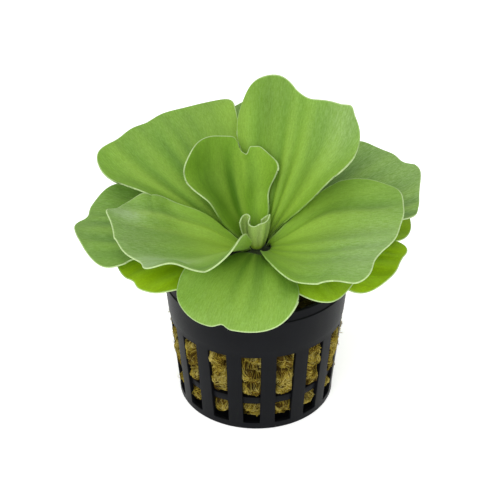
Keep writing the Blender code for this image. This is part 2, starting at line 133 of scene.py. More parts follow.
# Each leaf grows out of the crown at its azimuth, 0 towards -Y and 90 towards +X.
# Pairs give the left and the right half, as seen along the leaf with its upper face up.
LEAVES = {
    "leaf_heart": dict(
        azimuth=204.5, foot_radius=3.5, length=31.8, swing=-18,
        foot_pitch=82, pitch=54, tip_pitch=61, foot_reach=0.06, roll=(-9.5, -20.5),
        foot_width=1.8, width=(20, 10), flare=(0.85, 1.05), widest=0.76,
        shoulder=(0.66, 0.62), roundness=2.9, lobe=(0.6, -3),
        notch_depth=3.7, notch_width=1.8, notch_power=4, notch_place=0.18,
        foot_cup=41, cup=(17, 58), edge_drop=-1.8,
        wave=2.3, wave_phase=(-180, -35),
    ),
    "leaf_tall": dict(
        azimuth=153, foot_radius=5.5, length=50.2, swing=-4,
        foot_pitch=71, pitch=52, tip_pitch=80, foot_reach=0.05, roll=(18, -13),
        foot_width=2.4, width=(19.4, 23.7), flare=(1.9, 1.05), widest=0.78,
        shoulder=(0.52, 0.48), roundness=3.2, lobe=(-0.3, -3.5),
        notch_depth=5, notch_width=6.3, notch_power=2, notch_place=0.14,
        foot_cup=55, cup=(-3, 11), edge_drop=1.5,
        wave=-2, wave_phase=(-135, -70),
    ),
    "leaf_back_left": dict(
        azimuth=-133, foot_radius=6, length=55.4, swing=-18,
        foot_pitch=66, pitch=28.5, tip_pitch=21.5, foot_reach=0.03, roll=(18, 14.5),
        foot_width=2.4, width=(27.5, 26.5), flare=(1.55, 0.95), widest=1,
        shoulder=(0.62, 0.76), roundness=2.3, lobe=(-2.8, -0.7),
        notch_depth=1.3, notch_width=4, notch_power=2, notch_place=-0.04,
        foot_cup=14, cup=(26, 11), edge_drop=-0.6,
        wave=2.2, wave_phase=(120, -95),
    ),
    "leaf_left": dict(
        azimuth=-58, foot_radius=4.6, length=41.4, swing=-14.5,
        foot_pitch=62, pitch=13.5, tip_pitch=22.5, foot_reach=0.03, roll=(-4, 13),
        foot_width=2.4, width=(25.6, 21.7), flare=(1.9, 1.9), widest=0.5,
        shoulder=(0.9, 0.66), roundness=1.1, lobe=(-3.6, 3.6),
        notch_depth=0.4, notch_width=2.6, notch_power=2, notch_place=-0.08,
        foot_cup=94, cup=(37, 0), edge_drop=-1.8,
        wave=2.2, wave_phase=(-155, 0),
    ),
    "leaf_right": dict(
        azimuth=69, foot_radius=4.2, length=42.8, swing=-5.5,
        foot_pitch=92, pitch=21.5, tip_pitch=19, foot_reach=0.02, roll=(-11.5, -12),
        foot_width=2.4, width=(22.6, 25.6), flare=(1.9, 0.75), widest=0.46,
        shoulder=(0.56, 0.84), roundness=2.9, lobe=(-1.6, -3.4),
        notch_depth=1.2, notch_width=5.4, notch_power=2, notch_place=-0.08,
        foot_cup=68, cup=(24, 21), edge_drop=1.8,
        wave=1.1, wave_phase=(30, -45),
    ),
    "leaf_front": dict(
        azimuth=-4, foot_radius=5.2, length=34.4, swing=-17,
        foot_pitch=97, pitch=21.5, tip_pitch=-45, foot_reach=0.04, roll=(7, -12),
        foot_width=1.8, width=(18.5, 23.9), flare=(0.85, 1.15), widest=1,
        shoulder=(0.74, 0.42), roundness=2.3, lobe=(0, 1.3),
        notch_depth=1.2, notch_width=1.8, notch_power=2, notch_place=0.14,
        foot_cup=4, cup=(18, 27), edge_drop=1.3,
        wave=1.5, wave_phase=(-125, 105),
    ),
    "leaf_back_middle": dict(
        azimuth=-163, foot_radius=7, length=52.2, swing=4.5,
        foot_pitch=59, pitch=32, tip_pitch=28.5, foot_reach=0.06, roll=(8, 11.5),
        foot_width=2.4, width=(14.8, 15.8), flare=(1, 1.1), widest=0.78,
        shoulder=(0.54, 0.84), roundness=2.1, lobe=(0, -3.2),
        notch_depth=1.5, notch_width=3, notch_power=2, notch_place=0,
        foot_cup=8, cup=(3, 20), edge_drop=-0.1,
        wave=-0.3, wave_phase=(0, 0),
    ),
    "leaf_back_right": dict(
        azimuth=113, foot_radius=7, length=54, swing=9.5,
        foot_pitch=55, pitch=27, tip_pitch=7, foot_reach=0.08, roll=(2.5, -14),
        foot_width=2.4, width=(20.9, 21.6), flare=(1.2, 1.1), widest=0.72,
        shoulder=(0.66, 0.5), roundness=1.1, lobe=(-1.4, -1.8),
        notch_depth=2.9, notch_width=3.8, notch_power=2, notch_place=-0.12,
        foot_cup=37, cup=(5, 2), edge_drop=-0.2,
        wave=-2.2, wave_phase=(15, -115),
    ),
    "leaf_far_left": dict(
        azimuth=-101.5, foot_radius=7.4, length=49, swing=8,
        foot_pitch=55, pitch=11, tip_pitch=0, foot_reach=0.08, roll=(-4, -8),
        foot_width=2.4, width=(22.9, 22), flare=(1.3, 0.8), widest=0.72,
        shoulder=(0.58, 0.66), roundness=1.8, lobe=(-0.3, -1.4),
        notch_depth=2.7, notch_width=4.5, notch_power=2, notch_place=0.12,
        foot_cup=35, cup=(-21, 48), edge_drop=0.4,
        wave=1.9, wave_phase=(65, 115),
    ),
    "leaf_rear_right": dict(
        azimuth=140, foot_radius=8, length=42.8, swing=6,
        foot_pitch=62, pitch=13.5, tip_pitch=-2, foot_reach=0.05, roll=(-17.5, -14.5),
        foot_width=2.4, width=(20.5, 14.8), flare=(1.1, 0.8), widest=0.46,
        shoulder=(0.84, 0.6), roundness=2.1, lobe=(0, 0.3),
        notch_depth=1.5, notch_width=3, notch_power=2, notch_place=0,
        foot_cup=0, cup=(28, -4), edge_drop=-0.4,
        wave=1.4, wave_phase=(5, -80),
    ),
    "leaf_rear_left": dict(
        azimuth=-123.5, foot_radius=8.5, length=38.6, swing=0,
        foot_pitch=55, pitch=11, tip_pitch=-4, foot_reach=0.05, roll=(0.5, 0),
        foot_width=2.4, width=(13, 12.9), flare=(1, 1.05), widest=0.76,
        shoulder=(0.56, 0.62), roundness=2, lobe=(0, 0),
        notch_depth=1, notch_width=3, notch_power=2, notch_place=0,
        foot_cup=31, cup=(2, 2), edge_drop=0,
        wave=0.5, wave_phase=(0, 0),
    ),
    "leaf_low_left": dict(
        azimuth=-67, foot_radius=8, length=34, swing=2,
        foot_pitch=59, pitch=20.5, tip_pitch=-18, foot_reach=0.07, roll=(-5.5, 5.5),
        foot_width=2.4, width=(14.3, 18.1), flare=(1.2, 1), widest=0.9,
        shoulder=(0.4, 0.66), roundness=2.3, lobe=(-0.4, 0.6),
        notch_depth=1.3, notch_width=3.1, notch_power=2, notch_place=-0.16,
        foot_cup=22, cup=(-17, -5), edge_drop=0.4,
        wave=-0.6, wave_phase=(110, -30),
    ),
    "leaf_low_right": dict(
        azimuth=108.5, foot_radius=8.5, length=43.2, swing=10.5,
        foot_pitch=53, pitch=11.5, tip_pitch=-5, foot_reach=0.05, roll=(-16, -5),
        foot_width=2.4, width=(12.7, 12.4), flare=(1.15, 1), widest=0.86,
        shoulder=(0.54, 0.58), roundness=2.3, lobe=(0, -0.4),
        notch_depth=-1, notch_width=2.5, notch_power=2, notch_place=0,
        foot_cup=19, cup=(3, 1), edge_drop=-0.2,
        wave=1.2, wave_phase=(10, -10),
    ),
    "leaf_low_right_front": dict(
        azimuth=78, foot_radius=8, length=38, swing=0.5,
        foot_pitch=57, pitch=9, tip_pitch=0, foot_reach=0.07, roll=(-6, -12),
        foot_width=2.4, width=(11.9, 16), flare=(1, 1.2), widest=0.76,
        shoulder=(0.36, 0.44), roundness=1.9, lobe=(0.8, -1.1),
        notch_depth=2.2, notch_width=4.6, notch_power=2, notch_place=0.1,
        foot_cup=19, cup=(-13, -14), edge_drop=0.2,
        wave=-1.3, wave_phase=(-70, -60),
    ),
    "leaf_low_front": dict(
        azimuth=42, foot_radius=7.5, length=27.8, swing=-8,
        foot_pitch=60, pitch=26.5, tip_pitch=-27.5, foot_reach=0.08, roll=(-1.5, -0.5),
        foot_width=2.4, width=(14.2, 9.6), flare=(1, 1), widest=0.74,
        shoulder=(0.62, 0.48), roundness=2, lobe=(-0.3, 0.2),
        notch_depth=-0.4, notch_width=2.9, notch_power=2, notch_place=-0.02,
        foot_cup=30, cup=(-1, -4), edge_drop=-0.2,
        wave=0.2, wave_phase=(-5, -50),
    ),
}

# The young leaf stands rolled up: its rim runs from the left margin round the front to the
# right margin, in millimetres from the middle of the pot's base
YOUNG_LEAF = dict(
    azimuth=5, length=8.5, half_width=8, wrap=150,
    foot=(0, -0.4, 49.3), foot_radius=1.7,
    rim=(
        (-4.8, -1.4, 57.8), (-4.5, -0.4, 58.4), (-4, 0.8, 58.9), (-3.4, 1.8, 59.1), (-2.6, 2.4, 59),
        (-2, 2.2, 58.5), (-2.4, 1.4, 57.7), (-2.7, -0.2, 57.3), (-1.9, -1.6, 57), (-0.4, -2.3, 57.2),
        (0.9, -2.3, 58), (2.3, -1.7, 58.2), (3.5, -0.6, 58.3), (3.8, 0.8, 58.9), (4.2, 2, 59.3),
        (3.8, 2.9, 58.6), (2.4, 3, 57.8), (1, 2.4, 56.9),
    ),
)

# Soft pushes that shape a blade further: place along and across it, spread along and
# across it, and the way it moves in millimetres
LEAF_PUSHES = {
    "leaf_left": (
        (0.16, -1.0, 0.1, 0.45, (3.4, 0, 0)), (0.3, -1.0, 0.06, 0.3, (0.8, 0, 0)),
        (0.72, -0.82, 0.14, 0.2, (0, 0, 2.6)), (0.72, -0.6, 0.14, 0.2, (0, 0, 1.2)),
        (0.74, -1.0, 0.1, 0.12, (0, 0, -1.4)),
        (0.97, 0.52, 0.08, 0.12, (-1.4, 0, 0.9)), (0.9, 0.85, 0.12, 0.16, (-0.9, 0, 0.9)),
    ),
    "leaf_tall": ((0.87, 0.72, 0.05, 0.07, (0.8, 0, 0.9)),),
    "leaf_heart": (
        (0.86, 0.17, 0.06, 0.16, (0, -0.8, 0)), (0.88, 0.6, 0.08, 0.2, (0, 0, 0.8)),
        (0.6, 0.25, 0.25, 0.25, (0, -0.6, 0)),
    ),
}

# How each leaf is finished: its tone, how many and how high its ribs are, its haze of hairs, partly painted
# sheen, how dark the painted shade at its root is, and its marks, each a kind, place along and across,
# spread along and across, and strength. The marks are painted shade, painted light, and haze that is partly
# painted sheen
LEAF_FINISH = {
    "leaf_heart": dict(
        tone="green", ribs=3, rib_height=0.2, haze=0.05, root=0.6,
        marks=(
            ("deep", 0.4, -0.4, 0.3, 0.35, 1), ("light", 0.75, 0.15, 0.25, 0.12, 0.5),
            ("light", 0.6, 0.6, 0.4, 0.35, 0.4), ("deep", 0.7, -0.3, 0.3, 0.5, 0.4),
            ("light", 0.4, -1, 0.4, 0.15, 0.4),
        ),
    ),
    "leaf_tall": dict(
        tone="green", ribs=5, rib_height=0.6, haze=0.2,
        marks=(
            ("light", 0.3, 0.55, 0.35, 0.45, 0.6), ("deep", 0.3, -0.3, 0.3, 0.2, 1),
            ("light", 0.7, -0.9, 0.5, 0.25, 0.4), ("light", 0.55, 0.05, 0.3, 0.12, 0.4),
            ("deep", 0.85, -0.3, 0.2, 0.4, 0.5), ("deep", 0.8, 0.8, 0.3, 0.25, 0.3),
            ("haze", 0.8, 0.7, 0.25, 0.3, 0.3),
        ),
    ),
    "leaf_back_left": dict(
        tone="green", ribs=6, rib_height=0.45, haze=0.2,
        marks=(
            ("deep", 0.4, 0.1, 0.3, 0.35, 0.5), ("light", 0.5, 0.95, 0.6, 0.3, 0.6),
            ("deep", 0.85, 0.1, 0.2, 0.8, 0.3),
            ("light", 0.5, -0.6, 0.4, 0.2, 0.4),
        ),
    ),
    "leaf_left": dict(
        tone="green", ribs=4, rib_height=0.7, haze=0.45, root=0.1,
        marks=(
            ("deep", 0.85, 0, 0.2, 0.3, 0.7), ("light", 0.6, 0.65, 0.4, 0.08, 0.9),
            ("light", 0.5, 0.4, 0.3, 0.08, 0.7), ("light", 0.6, -0.42, 0.3, 0.14, 0.9),
            ("haze", 0.72, -0.42, 0.2, 0.14, 0.9), ("haze", 0.92, -0.7, 0.1, 0.15, 0.8),
            ("haze", 0.85, 0.6, 0.12, 0.14, 0.7), ("light", 0.2, -0.8, 0.2, 0.6, 1.4),
            ("light", 0.2, 0.3, 0.25, 0.9, 0.8),
        ),
    ),
    "leaf_right": dict(
        tone="green", ribs=5, rib_height=0.7, haze=0.25, root=0.2,
        marks=(
            ("light", 0.25, 0, 0.3, 0.9, 0.6), ("haze", 0.85, 0.4, 0.35, 0.6, 0.45),
            ("light", 0.7, -0.1, 0.4, 0.15, 0.5), ("deep", 0.75, -0.5, 0.3, 0.15, 0.4),
        ),
    ),
    "leaf_front": dict(
        tone="green", ribs=5, rib_height=0.15, haze=0.25,
        marks=(("deep", 0.15, 0, 0.25, 0.9, 0.6), ("light", 0.7, 0, 0.4, 0.9, 0.45)),
    ),
    "leaf_back_middle": dict(tone="old", ribs=7, rib_height=0.3, haze=0.4),
    "leaf_back_right": dict(
        tone="old", ribs=6, rib_height=0.5, haze=0.5, marks=(("deep", 0.45, 0, 0.3, 0.9, 0.6),),
    ),
    "leaf_far_left": dict(tone="old", ribs=6, rib_height=0.5, haze=0.3),
    "leaf_rear_right": dict(tone="old", ribs=6, rib_height=0.5, haze=0.35),
    "leaf_rear_left": dict(tone="old", ribs=6, rib_height=0.5, haze=0.35),
    "leaf_low_left": dict(tone="yellow", ribs=5, rib_height=0.25, haze=0.0),
    "leaf_low_right": dict(tone="yellow", ribs=5, rib_height=0.25, haze=0.0),
    "leaf_low_right_front": dict(tone="yellow", ribs=5, rib_height=0.25, haze=0.0),
    "leaf_low_front": dict(tone="yellow", ribs=5, rib_height=0.25, haze=0.05),
}
# The young leaf's mark is painted shade at its foot, in the pit at the heart of the rosette
YOUNG_FINISH = dict(
    tone="young", ribs=7, rib_height=0.3, haze=0.1, root=0, marks=(("deep", 0.05, 0, 0.3, 3, 0.8),),
)


def colour_property(name, description, default):
    return bpy.props.FloatVectorProperty(
        name=name, description=description, default=default, size=3, min=0.0, max=1.0, subtype="COLOR",
    )


def length_property(name, description, default, least=0.0):
    return bpy.props.FloatProperty(
        name=name, description=description, default=default, min=least, unit="LENGTH", precision=4,
    )


def angle_property(name, description, default):
    return bpy.props.FloatProperty(
        name=name, description=description, default=math.radians(default), unit="ROTATION",
    )


def count_property(name, description, default, least):
    return bpy.props.IntProperty(name=name, description=description, default=default, min=least)


class LeafSettings(bpy.types.PropertyGroup):
    thickness: length_property("Thickness", "Thickness of a blade away from its edge", 0.45 * MM)
    columns: count_property("Columns", "Faces along a leaf", 64, 8)
    rows: count_property("Rows", "Faces across a leaf", 104, 8)
    ripple: length_property("Ripple", "Height of the small unevenness of the blade", 0.25 * MM)
    ripple_size: length_property("Ripple size", "Size of the small unevenness", 7 * MM)
    green: colour_property("Green", "Blade of a grown leaf", (0.19, 0.395, 0.016))
    old: colour_property("Old", "Blade of an outer leaf", (0.15, 0.32, 0.02))
    # Yellow: the low leaves' yellowing, made brighter as painted light where they lie under the others
    yellow: colour_property("Yellow", "Blade of a leaf that turns yellow", (0.38, 0.58, 0.001))
    young: colour_property("Young", "Blade of the youngest leaf", (0.5, 0.66, 0.2))
    # Painted shade: share of the blade's colour left where shade is painted, in marked spots, at the foot
    # and in the rib valleys; random patches darken towards it too
    deep: colour_property("Deep", "Share of the blade's colour in its deep parts", (0.42, 0.52, 0.1))
    # Light: painted light, on the lit parts of a blade in marked spots and on the rib ridges
    light: colour_property("Light", "Bright parts of the blade", (0.36, 0.58, 0.055))
    edge: colour_property("Edge", "Rounded rim of every blade", (0.6, 0.75, 0.38))
    # Bloom: the pale haze of the fine hairs, also painted sheen, a painted reflection of the bright
    # surroundings where a blade faces up or outwards
    bloom: colour_property("Bloom", "Pale haze of fine hairs", (0.4, 0.56, 0.25))


class PotSettings(bpy.types.PropertyGroup):
    base_radius: length_property("Base radius", "Outer radius at the floor", 24.1 * MM)
    ledge_radius: length_property("Ledge radius", "Outer radius under the lip", 27.5 * MM)
    ledge_height: length_property("Ledge height", "Height of the ledge under the lip", 39.9 * MM)
    height: length_property("Height", "Height of the lip", 42.4 * MM)
    wall: length_property("Wall", "Thickness of the wall", 1.2 * MM)
    plastic: colour_property("Plastic", "Moulded plastic", (0.0032, 0.0036, 0.0048))


class WoolSettings(bpy.types.PropertyGroup):
    batches: count_property("Batches", "Pieces the fibres are split into", 3, 0)
    fibres: count_property("Fibres", "Fibres in a batch", 5400, 0)
    fibre_radius: length_property("Fibre radius", "Half the thickness of a fibre", 0.065 * MM)
    # Core: the plug's rock wool, darkened as painted shade so that the hollows between the fibres read dark
    core: colour_property("Core", "Matted wool", (0.07, 0.042, 0.004))
    straw: colour_property("Straw", "Pale fibres", (0.6, 0.5, 0.14))
    ochre: colour_property("Ochre", "Most fibres", (0.42, 0.32, 0.04))
    brown: colour_property("Brown", "Dark fibres", (0.11, 0.06, 0.003))


class StageSettings(bpy.types.PropertyGroup):
    distance: length_property("Distance", "Camera to the point it aims at", 300 * MM)
    elevation: angle_property("Elevation", "Camera above the horizon", 30.0)
    aim_side: length_property("Aim side", "Aim along X", -1.888 * MM, least=-1.0)
    aim_depth: length_property("Aim depth", "Aim along Y", 0.074 * MM, least=-1.0)
    aim_height: length_property("Aim height", "Aim along Z", 48.03 * MM)
    lens: bpy.props.FloatProperty(name="Lens", description="Focal length", default=72.94, unit="CAMERA")
    sky: bpy.props.FloatProperty(name="Sky", description="Light from all round", default=0.62, min=0.0)
    glow: bpy.props.FloatProperty(name="Glow", description="Light from the floor", default=0.5, min=0.0)
    floor: colour_property("Floor", "Plain floor", (0.9, 0.9, 0.9))


class WaterLettuceSettings(bpy.types.PropertyGroup):
    leaves: bpy.props.PointerProperty(type=LeafSettings)
    pot: bpy.props.PointerProperty(type=PotSettings)
    wool: bpy.props.PointerProperty(type=WoolSettings)
    stage: bpy.props.PointerProperty(type=StageSettings)


def new_material(name, roughness, specular=0.5):
    """A material with its node tree and its shader."""
    made = bpy.data.materials.new(name)
    made.use_nodes = True
    shader = made.node_tree.nodes["Principled BSDF"]
    shader.inputs["Roughness"].default_value = roughness
    shader.inputs["Specular IOR Level"].default_value = specular
    return made, made.node_tree, shader


def add_node(tree, kind, inputs=None, **options):
    """Adds a node, with its inputs given by name or number as a value or as another node's output."""
    made = tree.nodes.new(kind)
    for option, value in options.items():
        setattr(made, option, value)
    for socket, value in (inputs or {}).items():
        if isinstance(value, bpy.types.NodeSocket):
            tree.links.new(value, made.inputs[socket])
        else:
            made.inputs[socket].default_value = value
    return made


def blend_colours(tree, factor, low, high, blend="MIX"):
    """Blends two colours, each given as a value or as another node's output."""
    mix = add_node(tree, "ShaderNodeMix", data_type="RGBA", blend_type=blend)
    for socket, value in zip((0, 6, 7), (factor, low, high)):
        if isinstance(value, bpy.types.NodeSocket):
            tree.links.new(value, mix.inputs[socket])
        elif socket == 0:
            mix.inputs[socket].default_value = value
        else:
            mix.inputs[socket].default_value = (*value[:3], 1.0)
    return mix.outputs[2]


def map_range(tree, value, low, high, to_low=0.0, to_high=1.0, smooth=True):
    made = add_node(
        tree, "ShaderNodeMapRange",
        {"Value": value, "From Min": low, "From Max": high, "To Min": to_low, "To Max": to_high},
        interpolation_type="SMOOTHSTEP" if smooth else "LINEAR",
    )
    return made.outputs["Result"]


def arithmetic(tree, operation, first, second):
    made = add_node(tree, "ShaderNodeMath", {0: first, 1: second}, operation=operation)
    return made.outputs["Value"]


def noise_value(tree, vector, scale, detail, roughness=0.55):
    made = add_node(
        tree, "ShaderNodeTexNoise",
        {"Vector": vector, "Scale": scale, "Detail": detail, "Roughness": roughness},
    )
    return made.outputs["Fac"]


def add_bump(tree, shader, height, strength, depth):
    """Makes a surface look raised by a pattern, up to a depth in millimetres."""
    bump = add_node(
        tree, "ShaderNodeBump", {"Height": height, "Strength": strength, "Distance": depth * MM},
    )
    tree.links.new(bump.outputs["Normal"], shader.inputs["Normal"])


def add_piece(name, mesh, replaced=()):
    """Adds a mesh in metres as a piece that rides on the root body."""
    made = bpy.data.objects.new(name, mesh)
    bpy.context.scene.collection.objects.link(made)
    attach(made, ROOT)
    if replaced:
        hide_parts(*replaced)
    return made


def finish_piece(name, bm, material, replaced=()):
    """Turns a bmesh in millimetres into a smooth-shaded piece of one material."""
    bmesh.ops.scale(bm, vec=(MM, MM, MM), verts=bm.verts)
    mesh = bpy.data.meshes.new(name)
    bm.to_mesh(mesh)
    bm.free()
    mesh.shade_smooth()
    mesh.materials.append(material)
    return add_piece(name, mesh, replaced)


def crown_height(radius):
    return min(CROWN_FLAT, CROWN_DOME - CROWN_FALL * radius ** 2)


def interpolate(place, stations, points):
    """Points at places along a path whose points are known at its stations."""
    return np.stack([np.interp(place, stations, points[:, axis]) for axis in range(3)], axis=-1)


def midrib(leaf):
    """Places and directions along the middle of a leaf, at even steps of its length."""
    reach = np.linspace(0.0, MIDRIB_REACH, MIDRIB_STEPS)
    fade = np.exp(-reach / leaf["foot_reach"])
    pitch = leaf["pitch"] + (leaf["tip_pitch"] - leaf["pitch"]) * reach
    pitch = np.radians(pitch + (leaf["foot_pitch"] - leaf["pitch"]) * fade)[:, None]
    heading = np.radians(leaf["azimuth"] + leaf["swing"] * reach)
    roll = np.radians(leaf["roll"][0] + (leaf["roll"][1] - leaf["roll"][0]) * reach)[:, None]
    level = np.zeros_like(heading)
    outward = np.stack([np.sin(heading), -np.cos(heading), level], axis=1)
    right = np.stack([-np.cos(heading), -np.sin(heading), level], axis=1)
    forward = outward * np.cos(pitch) + np.array([0.0, 0.0, 1.0]) * np.sin(pitch)
    upper = np.cross(right, forward)
    step = leaf["length"] * MIDRIB_REACH / (MIDRIB_STEPS - 1)
    place = np.zeros_like(forward)
    place[1:] = np.cumsum((forward[1:] + forward[:-1]) / 2 * step, axis=0)
    radius = leaf["foot_radius"]
    place += outward[0] * radius
    place[:, 2] += crown_height(radius) + LEAF_LIFT
    return (
        reach * leaf["length"], place,
        right * np.cos(roll) + upper * np.sin(roll),
        upper * np.cos(roll) - right * np.sin(roll),
    )


def rib_profile(across, ribs, seed):
    """Height of the uneven ribs across a blade, up to 1 on a rib and down to -1 between two."""
    place = across
    for size, turns, phase in RIB_WANDERS:
        place = place + size * np.sin(turns * across + phase * seed)
    size, turns, phase = RIB_UNEVENNESS
    strength = RIB_STRENGTH + size * np.sin(turns * across + phase * seed)
    return strength * np.cos(math.pi * ribs * np.sign(place) * np.abs(place) ** RIB_CROWDING)


def soft_spot(part, across, place_along, place_across, spread_along, spread_across):
    """1 at a place on a blade, which fades to 0 round it."""
    along = (part - place_along) / spread_along
    aside = (across - place_across) / spread_across
    return np.exp(-(along ** 2 + aside ** 2))


def leaf_surface(name, leaf, along, across, ribs, rib_height):
    """A leaf's upper face: its points in millimetres, and the length share, arc and rib fade there."""
    def half(key):
        return np.where(across >= 0, leaf[key][1], leaf[key][0])

    offset = np.abs(across)
    shoulder = half("shoulder")
    rounding = np.sqrt(np.clip(1 - offset ** leaf["roundness"], 0, 1))
    end = leaf["length"] * (shoulder + (1 - shoulder) * rounding)
    end += half("lobe") * np.exp(-((offset - LOBE_PLACE) / LOBE_SPREAD) ** 2) * np.sqrt(rounding)
    from_notch = (across - leaf["notch_place"]) * leaf["width"][1] / leaf["notch_width"]
    end -= leaf["notch_depth"] * np.exp(-np.abs(from_notch) ** leaf["notch_power"])
    distance = along * end
    part = distance / leaf["length"]
    spread = np.sin(math.pi / 2 * np.clip(part / leaf["widest"], 0, 1)) ** half("flare")
    half_width = leaf["foot_width"] + (half("width") - leaf["foot_width"]) * spread
    cup = leaf["foot_cup"] + (half("cup") - leaf["foot_cup"]) * np.clip(part / CUP_REACH, 0, 1)
    bend = np.radians(cup) / half_width
    bend = np.where(np.abs(bend) < FLATTEST, FLATTEST, bend)
    arc = offset * half_width
    sideways = np.sin(bend * arc) / bend * np.sign(across)
    grown = np.clip(part / WAVE_START, 0, 1)
    wave = np.sin(math.tau * WAVE_COUNT * part + np.radians(half("wave_phase")))
    lift = (1 - np.cos(bend * arc)) / bend
    lift += leaf["wave"] * offset ** 2 * grown * wave - leaf["edge_drop"] * offset ** 4 * grown
    fade = np.sin(math.pi * np.clip(part / RIB_END, 0, 1)) ** RIB_RISE * (1 - offset ** 4)
    lift += rib_height * rib_profile(across, ribs, leaf["length"]) * fade
    stations, *paths = midrib(leaf)
    place, right, upper = (interpolate(distance, stations, path) for path in paths)
    points = place + right * sideways[:, None] + upper * lift[:, None]
    for *spot, push in LEAF_PUSHES.get(name, ()):
        points += soft_spot(part, across, *spot)[:, None] * np.array(push)
    return points, part, across * half("width"), fade


def rolled_surface(leaf, along, across, ribs, rib_height):
    """What leaf_surface gives, for a young leaf that widens from a small ring to its wavy rim."""
    rim = np.array(leaf["rim"])
    steps = np.linalg.norm(np.diff(rim, axis=0), axis=1)
    share = np.concatenate([[0.0], np.cumsum(steps)]) / steps.sum() * 2 - 1
    top = np.zeros((len(across), 3))
    for shift in RIM_SOFTENING:
        top += interpolate(np.clip(across + shift, -1, 1), share, rim) / len(RIM_SOFTENING)
    turn = np.radians(leaf["wrap"] * across)
    ring = np.stack([np.sin(turn), -np.cos(turn), np.zeros_like(turn)], axis=-1)
    foot = np.array(leaf["foot"]) + leaf["foot_radius"] * ring
    grown = np.sin(math.pi / 2 * along) ** YOUNG_FLARE
    fade = np.sin(math.pi * np.clip(along, 0, 1)) ** RIB_RISE
    points = foot + (top - foot) * np.stack([grown, grown, along], axis=-1)
    points += ring * (rib_height * rib_profile(across, ribs, leaf["length"]) * fade)[:, None]
    return points, along, across * leaf["half_width"], fade


def mark_amount(finish, key, part, across):
    """Strength of one kind of mark at each point of a blade."""
    amount = np.zeros_like(part)
    for kind, *spot, strength in finish.get("marks", ()):
        if kind == key:
            amount += strength * soft_spot(part, across, *spot)
    return np.clip(amount, 0, 1)


def edge_distances(points, on_edge):
    """Distance of each point to the nearest point of the outline."""
    outline = points[on_edge]
    tree = kdtree.KDTree(len(outline))
    for index, point in enumerate(outline):
        tree.insert(point, index)
    tree.balance()
    return np.array([tree.find(point)[2] for point in points])


def blade_amounts(leaf, finish, edge, part, across, ribs, fade):
    """The attributes that a blade's material reads, with a value for each point: painted shade at the root,
    at the foot and in marked spots, painted light in marked spots, haze that is partly painted sheen, and a
    pale rim that fades towards the foot as painted shade.
    """
    foot = FOOT_PAINTED_SHADE * np.exp(-(part / FOOT_REACH) ** 2)
    haze = finish["haze"] * np.clip((part - HAZE_START) / HAZE_GROWTH, 0, 1)
    return {
        "edge": edge,
        "rib": rib_profile(across, ribs, leaf["length"]) * fade,
        "root": np.exp(-(part / ROOT_REACH) ** 2) * finish.get("root", ROOT_STRENGTH),
        "rim": np.clip((part - RIM_START) / RIM_GROWTH, RIM_LEAST, 1),
        "deep": mark_amount(finish, "deep", part, across) + foot,
        "light": mark_amount(finish, "light", part, across),
        "haze": mark_amount(finish, "haze", part, across) + haze,
    }


def thicken_blade(bm, thickness):
    """Gives an open blade a lower face, and rounds its rim, where the two faces are welded."""
    upper = list(bm.verts)
    copied = bmesh.ops.duplicate(bm, geom=bm.verts[:] + bm.edges[:] + bm.faces[:])
    lower_faces = [item for item in copied["geom"] if isinstance(item, bmesh.types.BMFace)]
    bmesh.ops.reverse_faces(bm, faces=lower_faces)
    edge_layer = bm.verts.layers.float["edge"]
    for vert in upper:
        below = copied["vert_map"][vert]
        inside = min(1.0, vert[edge_layer] / (thickness * RIM_ROUNDING))
        depth = thickness * math.sqrt(1 - (1 - inside) ** 2)
        normal = vert.normal.copy()
        vert.co = vert.co - normal * (thickness - depth) / 2
        below.co = below.co - normal * (thickness + depth) / 2
    bmesh.ops.remove_doubles(bm, verts=bm.verts, dist=RIM_WELD)


def build_leaf(name, leaf, finish, settings, material):
    """A closed blade, whose UV map is its arc and length in millimetres."""
    bm = bmesh.new()
    bmesh.ops.create_grid(bm, x_segments=settings.columns, y_segments=settings.rows, size=1.0)
    flat = np.array([vert.co for vert in bm.verts])
    along = 1 - ((1 - flat[:, 0]) / 2) ** 2
    across = -np.sign(flat[:, 1]) * (1 - (1 - np.abs(flat[:, 1])) ** 2)
    ribs = finish["ribs"]
    if "rim" in leaf:
        points, part, arc, fade = rolled_surface(leaf, along, across, ribs, finish["rib_height"])
    else:
        wide = np.where(across >= 0, leaf["width"][1], leaf["width"][0])
        ribs = ribs * wide * 2 / sum(leaf["width"])
        points, part, arc, fade = leaf_surface(name, leaf, along, across, ribs, finish["rib_height"])
    edge = edge_distances(points, np.array([vert.is_boundary for vert in bm.verts]))
    seed = Vector((leaf["azimuth"], leaf["length"], 0.0))
    ripple = settings.ripple / MM
    size = settings.ripple_size / MM
    for vert, point in zip(bm.verts, points):
        vert.co = point
    bm.normal_update()
    for vert, inside in zip(bm.verts, edge):
        rise = ripple * noise.noise(Vector(vert.co) / size + seed) * min(1.0, inside / RIPPLE_START)
        vert.co = vert.co + vert.normal * rise
    uv_layer = bm.loops.layers.uv.new("blade")
    amounts = blade_amounts(leaf, finish, edge, part, across, ribs, fade)
    for key in amounts:
        bm.verts.layers.float.new(key)
    for index, vert in enumerate(bm.verts):
        for key, values in amounts.items():
            vert[bm.verts.layers.float[key]] = float(values[index])
    for face in bm.faces:
        for loop in face.loops:
            index = loop.vert.index
            loop[uv_layer].uv = (arc[index], part[index] * leaf["length"])
    bm.normal_update()
    thicken_blade(bm, settings.thickness / MM)
    finish_piece(name + "_blade", bm, material, (name,))


def blade_noise(tree, blade, stretch, detail, roughness):
    place = add_node(tree, "ShaderNodeMapping", {"Vector": blade, "Scale": stretch})
    return noise_value(tree, place.outputs["Vector"], 1.0, detail, roughness)


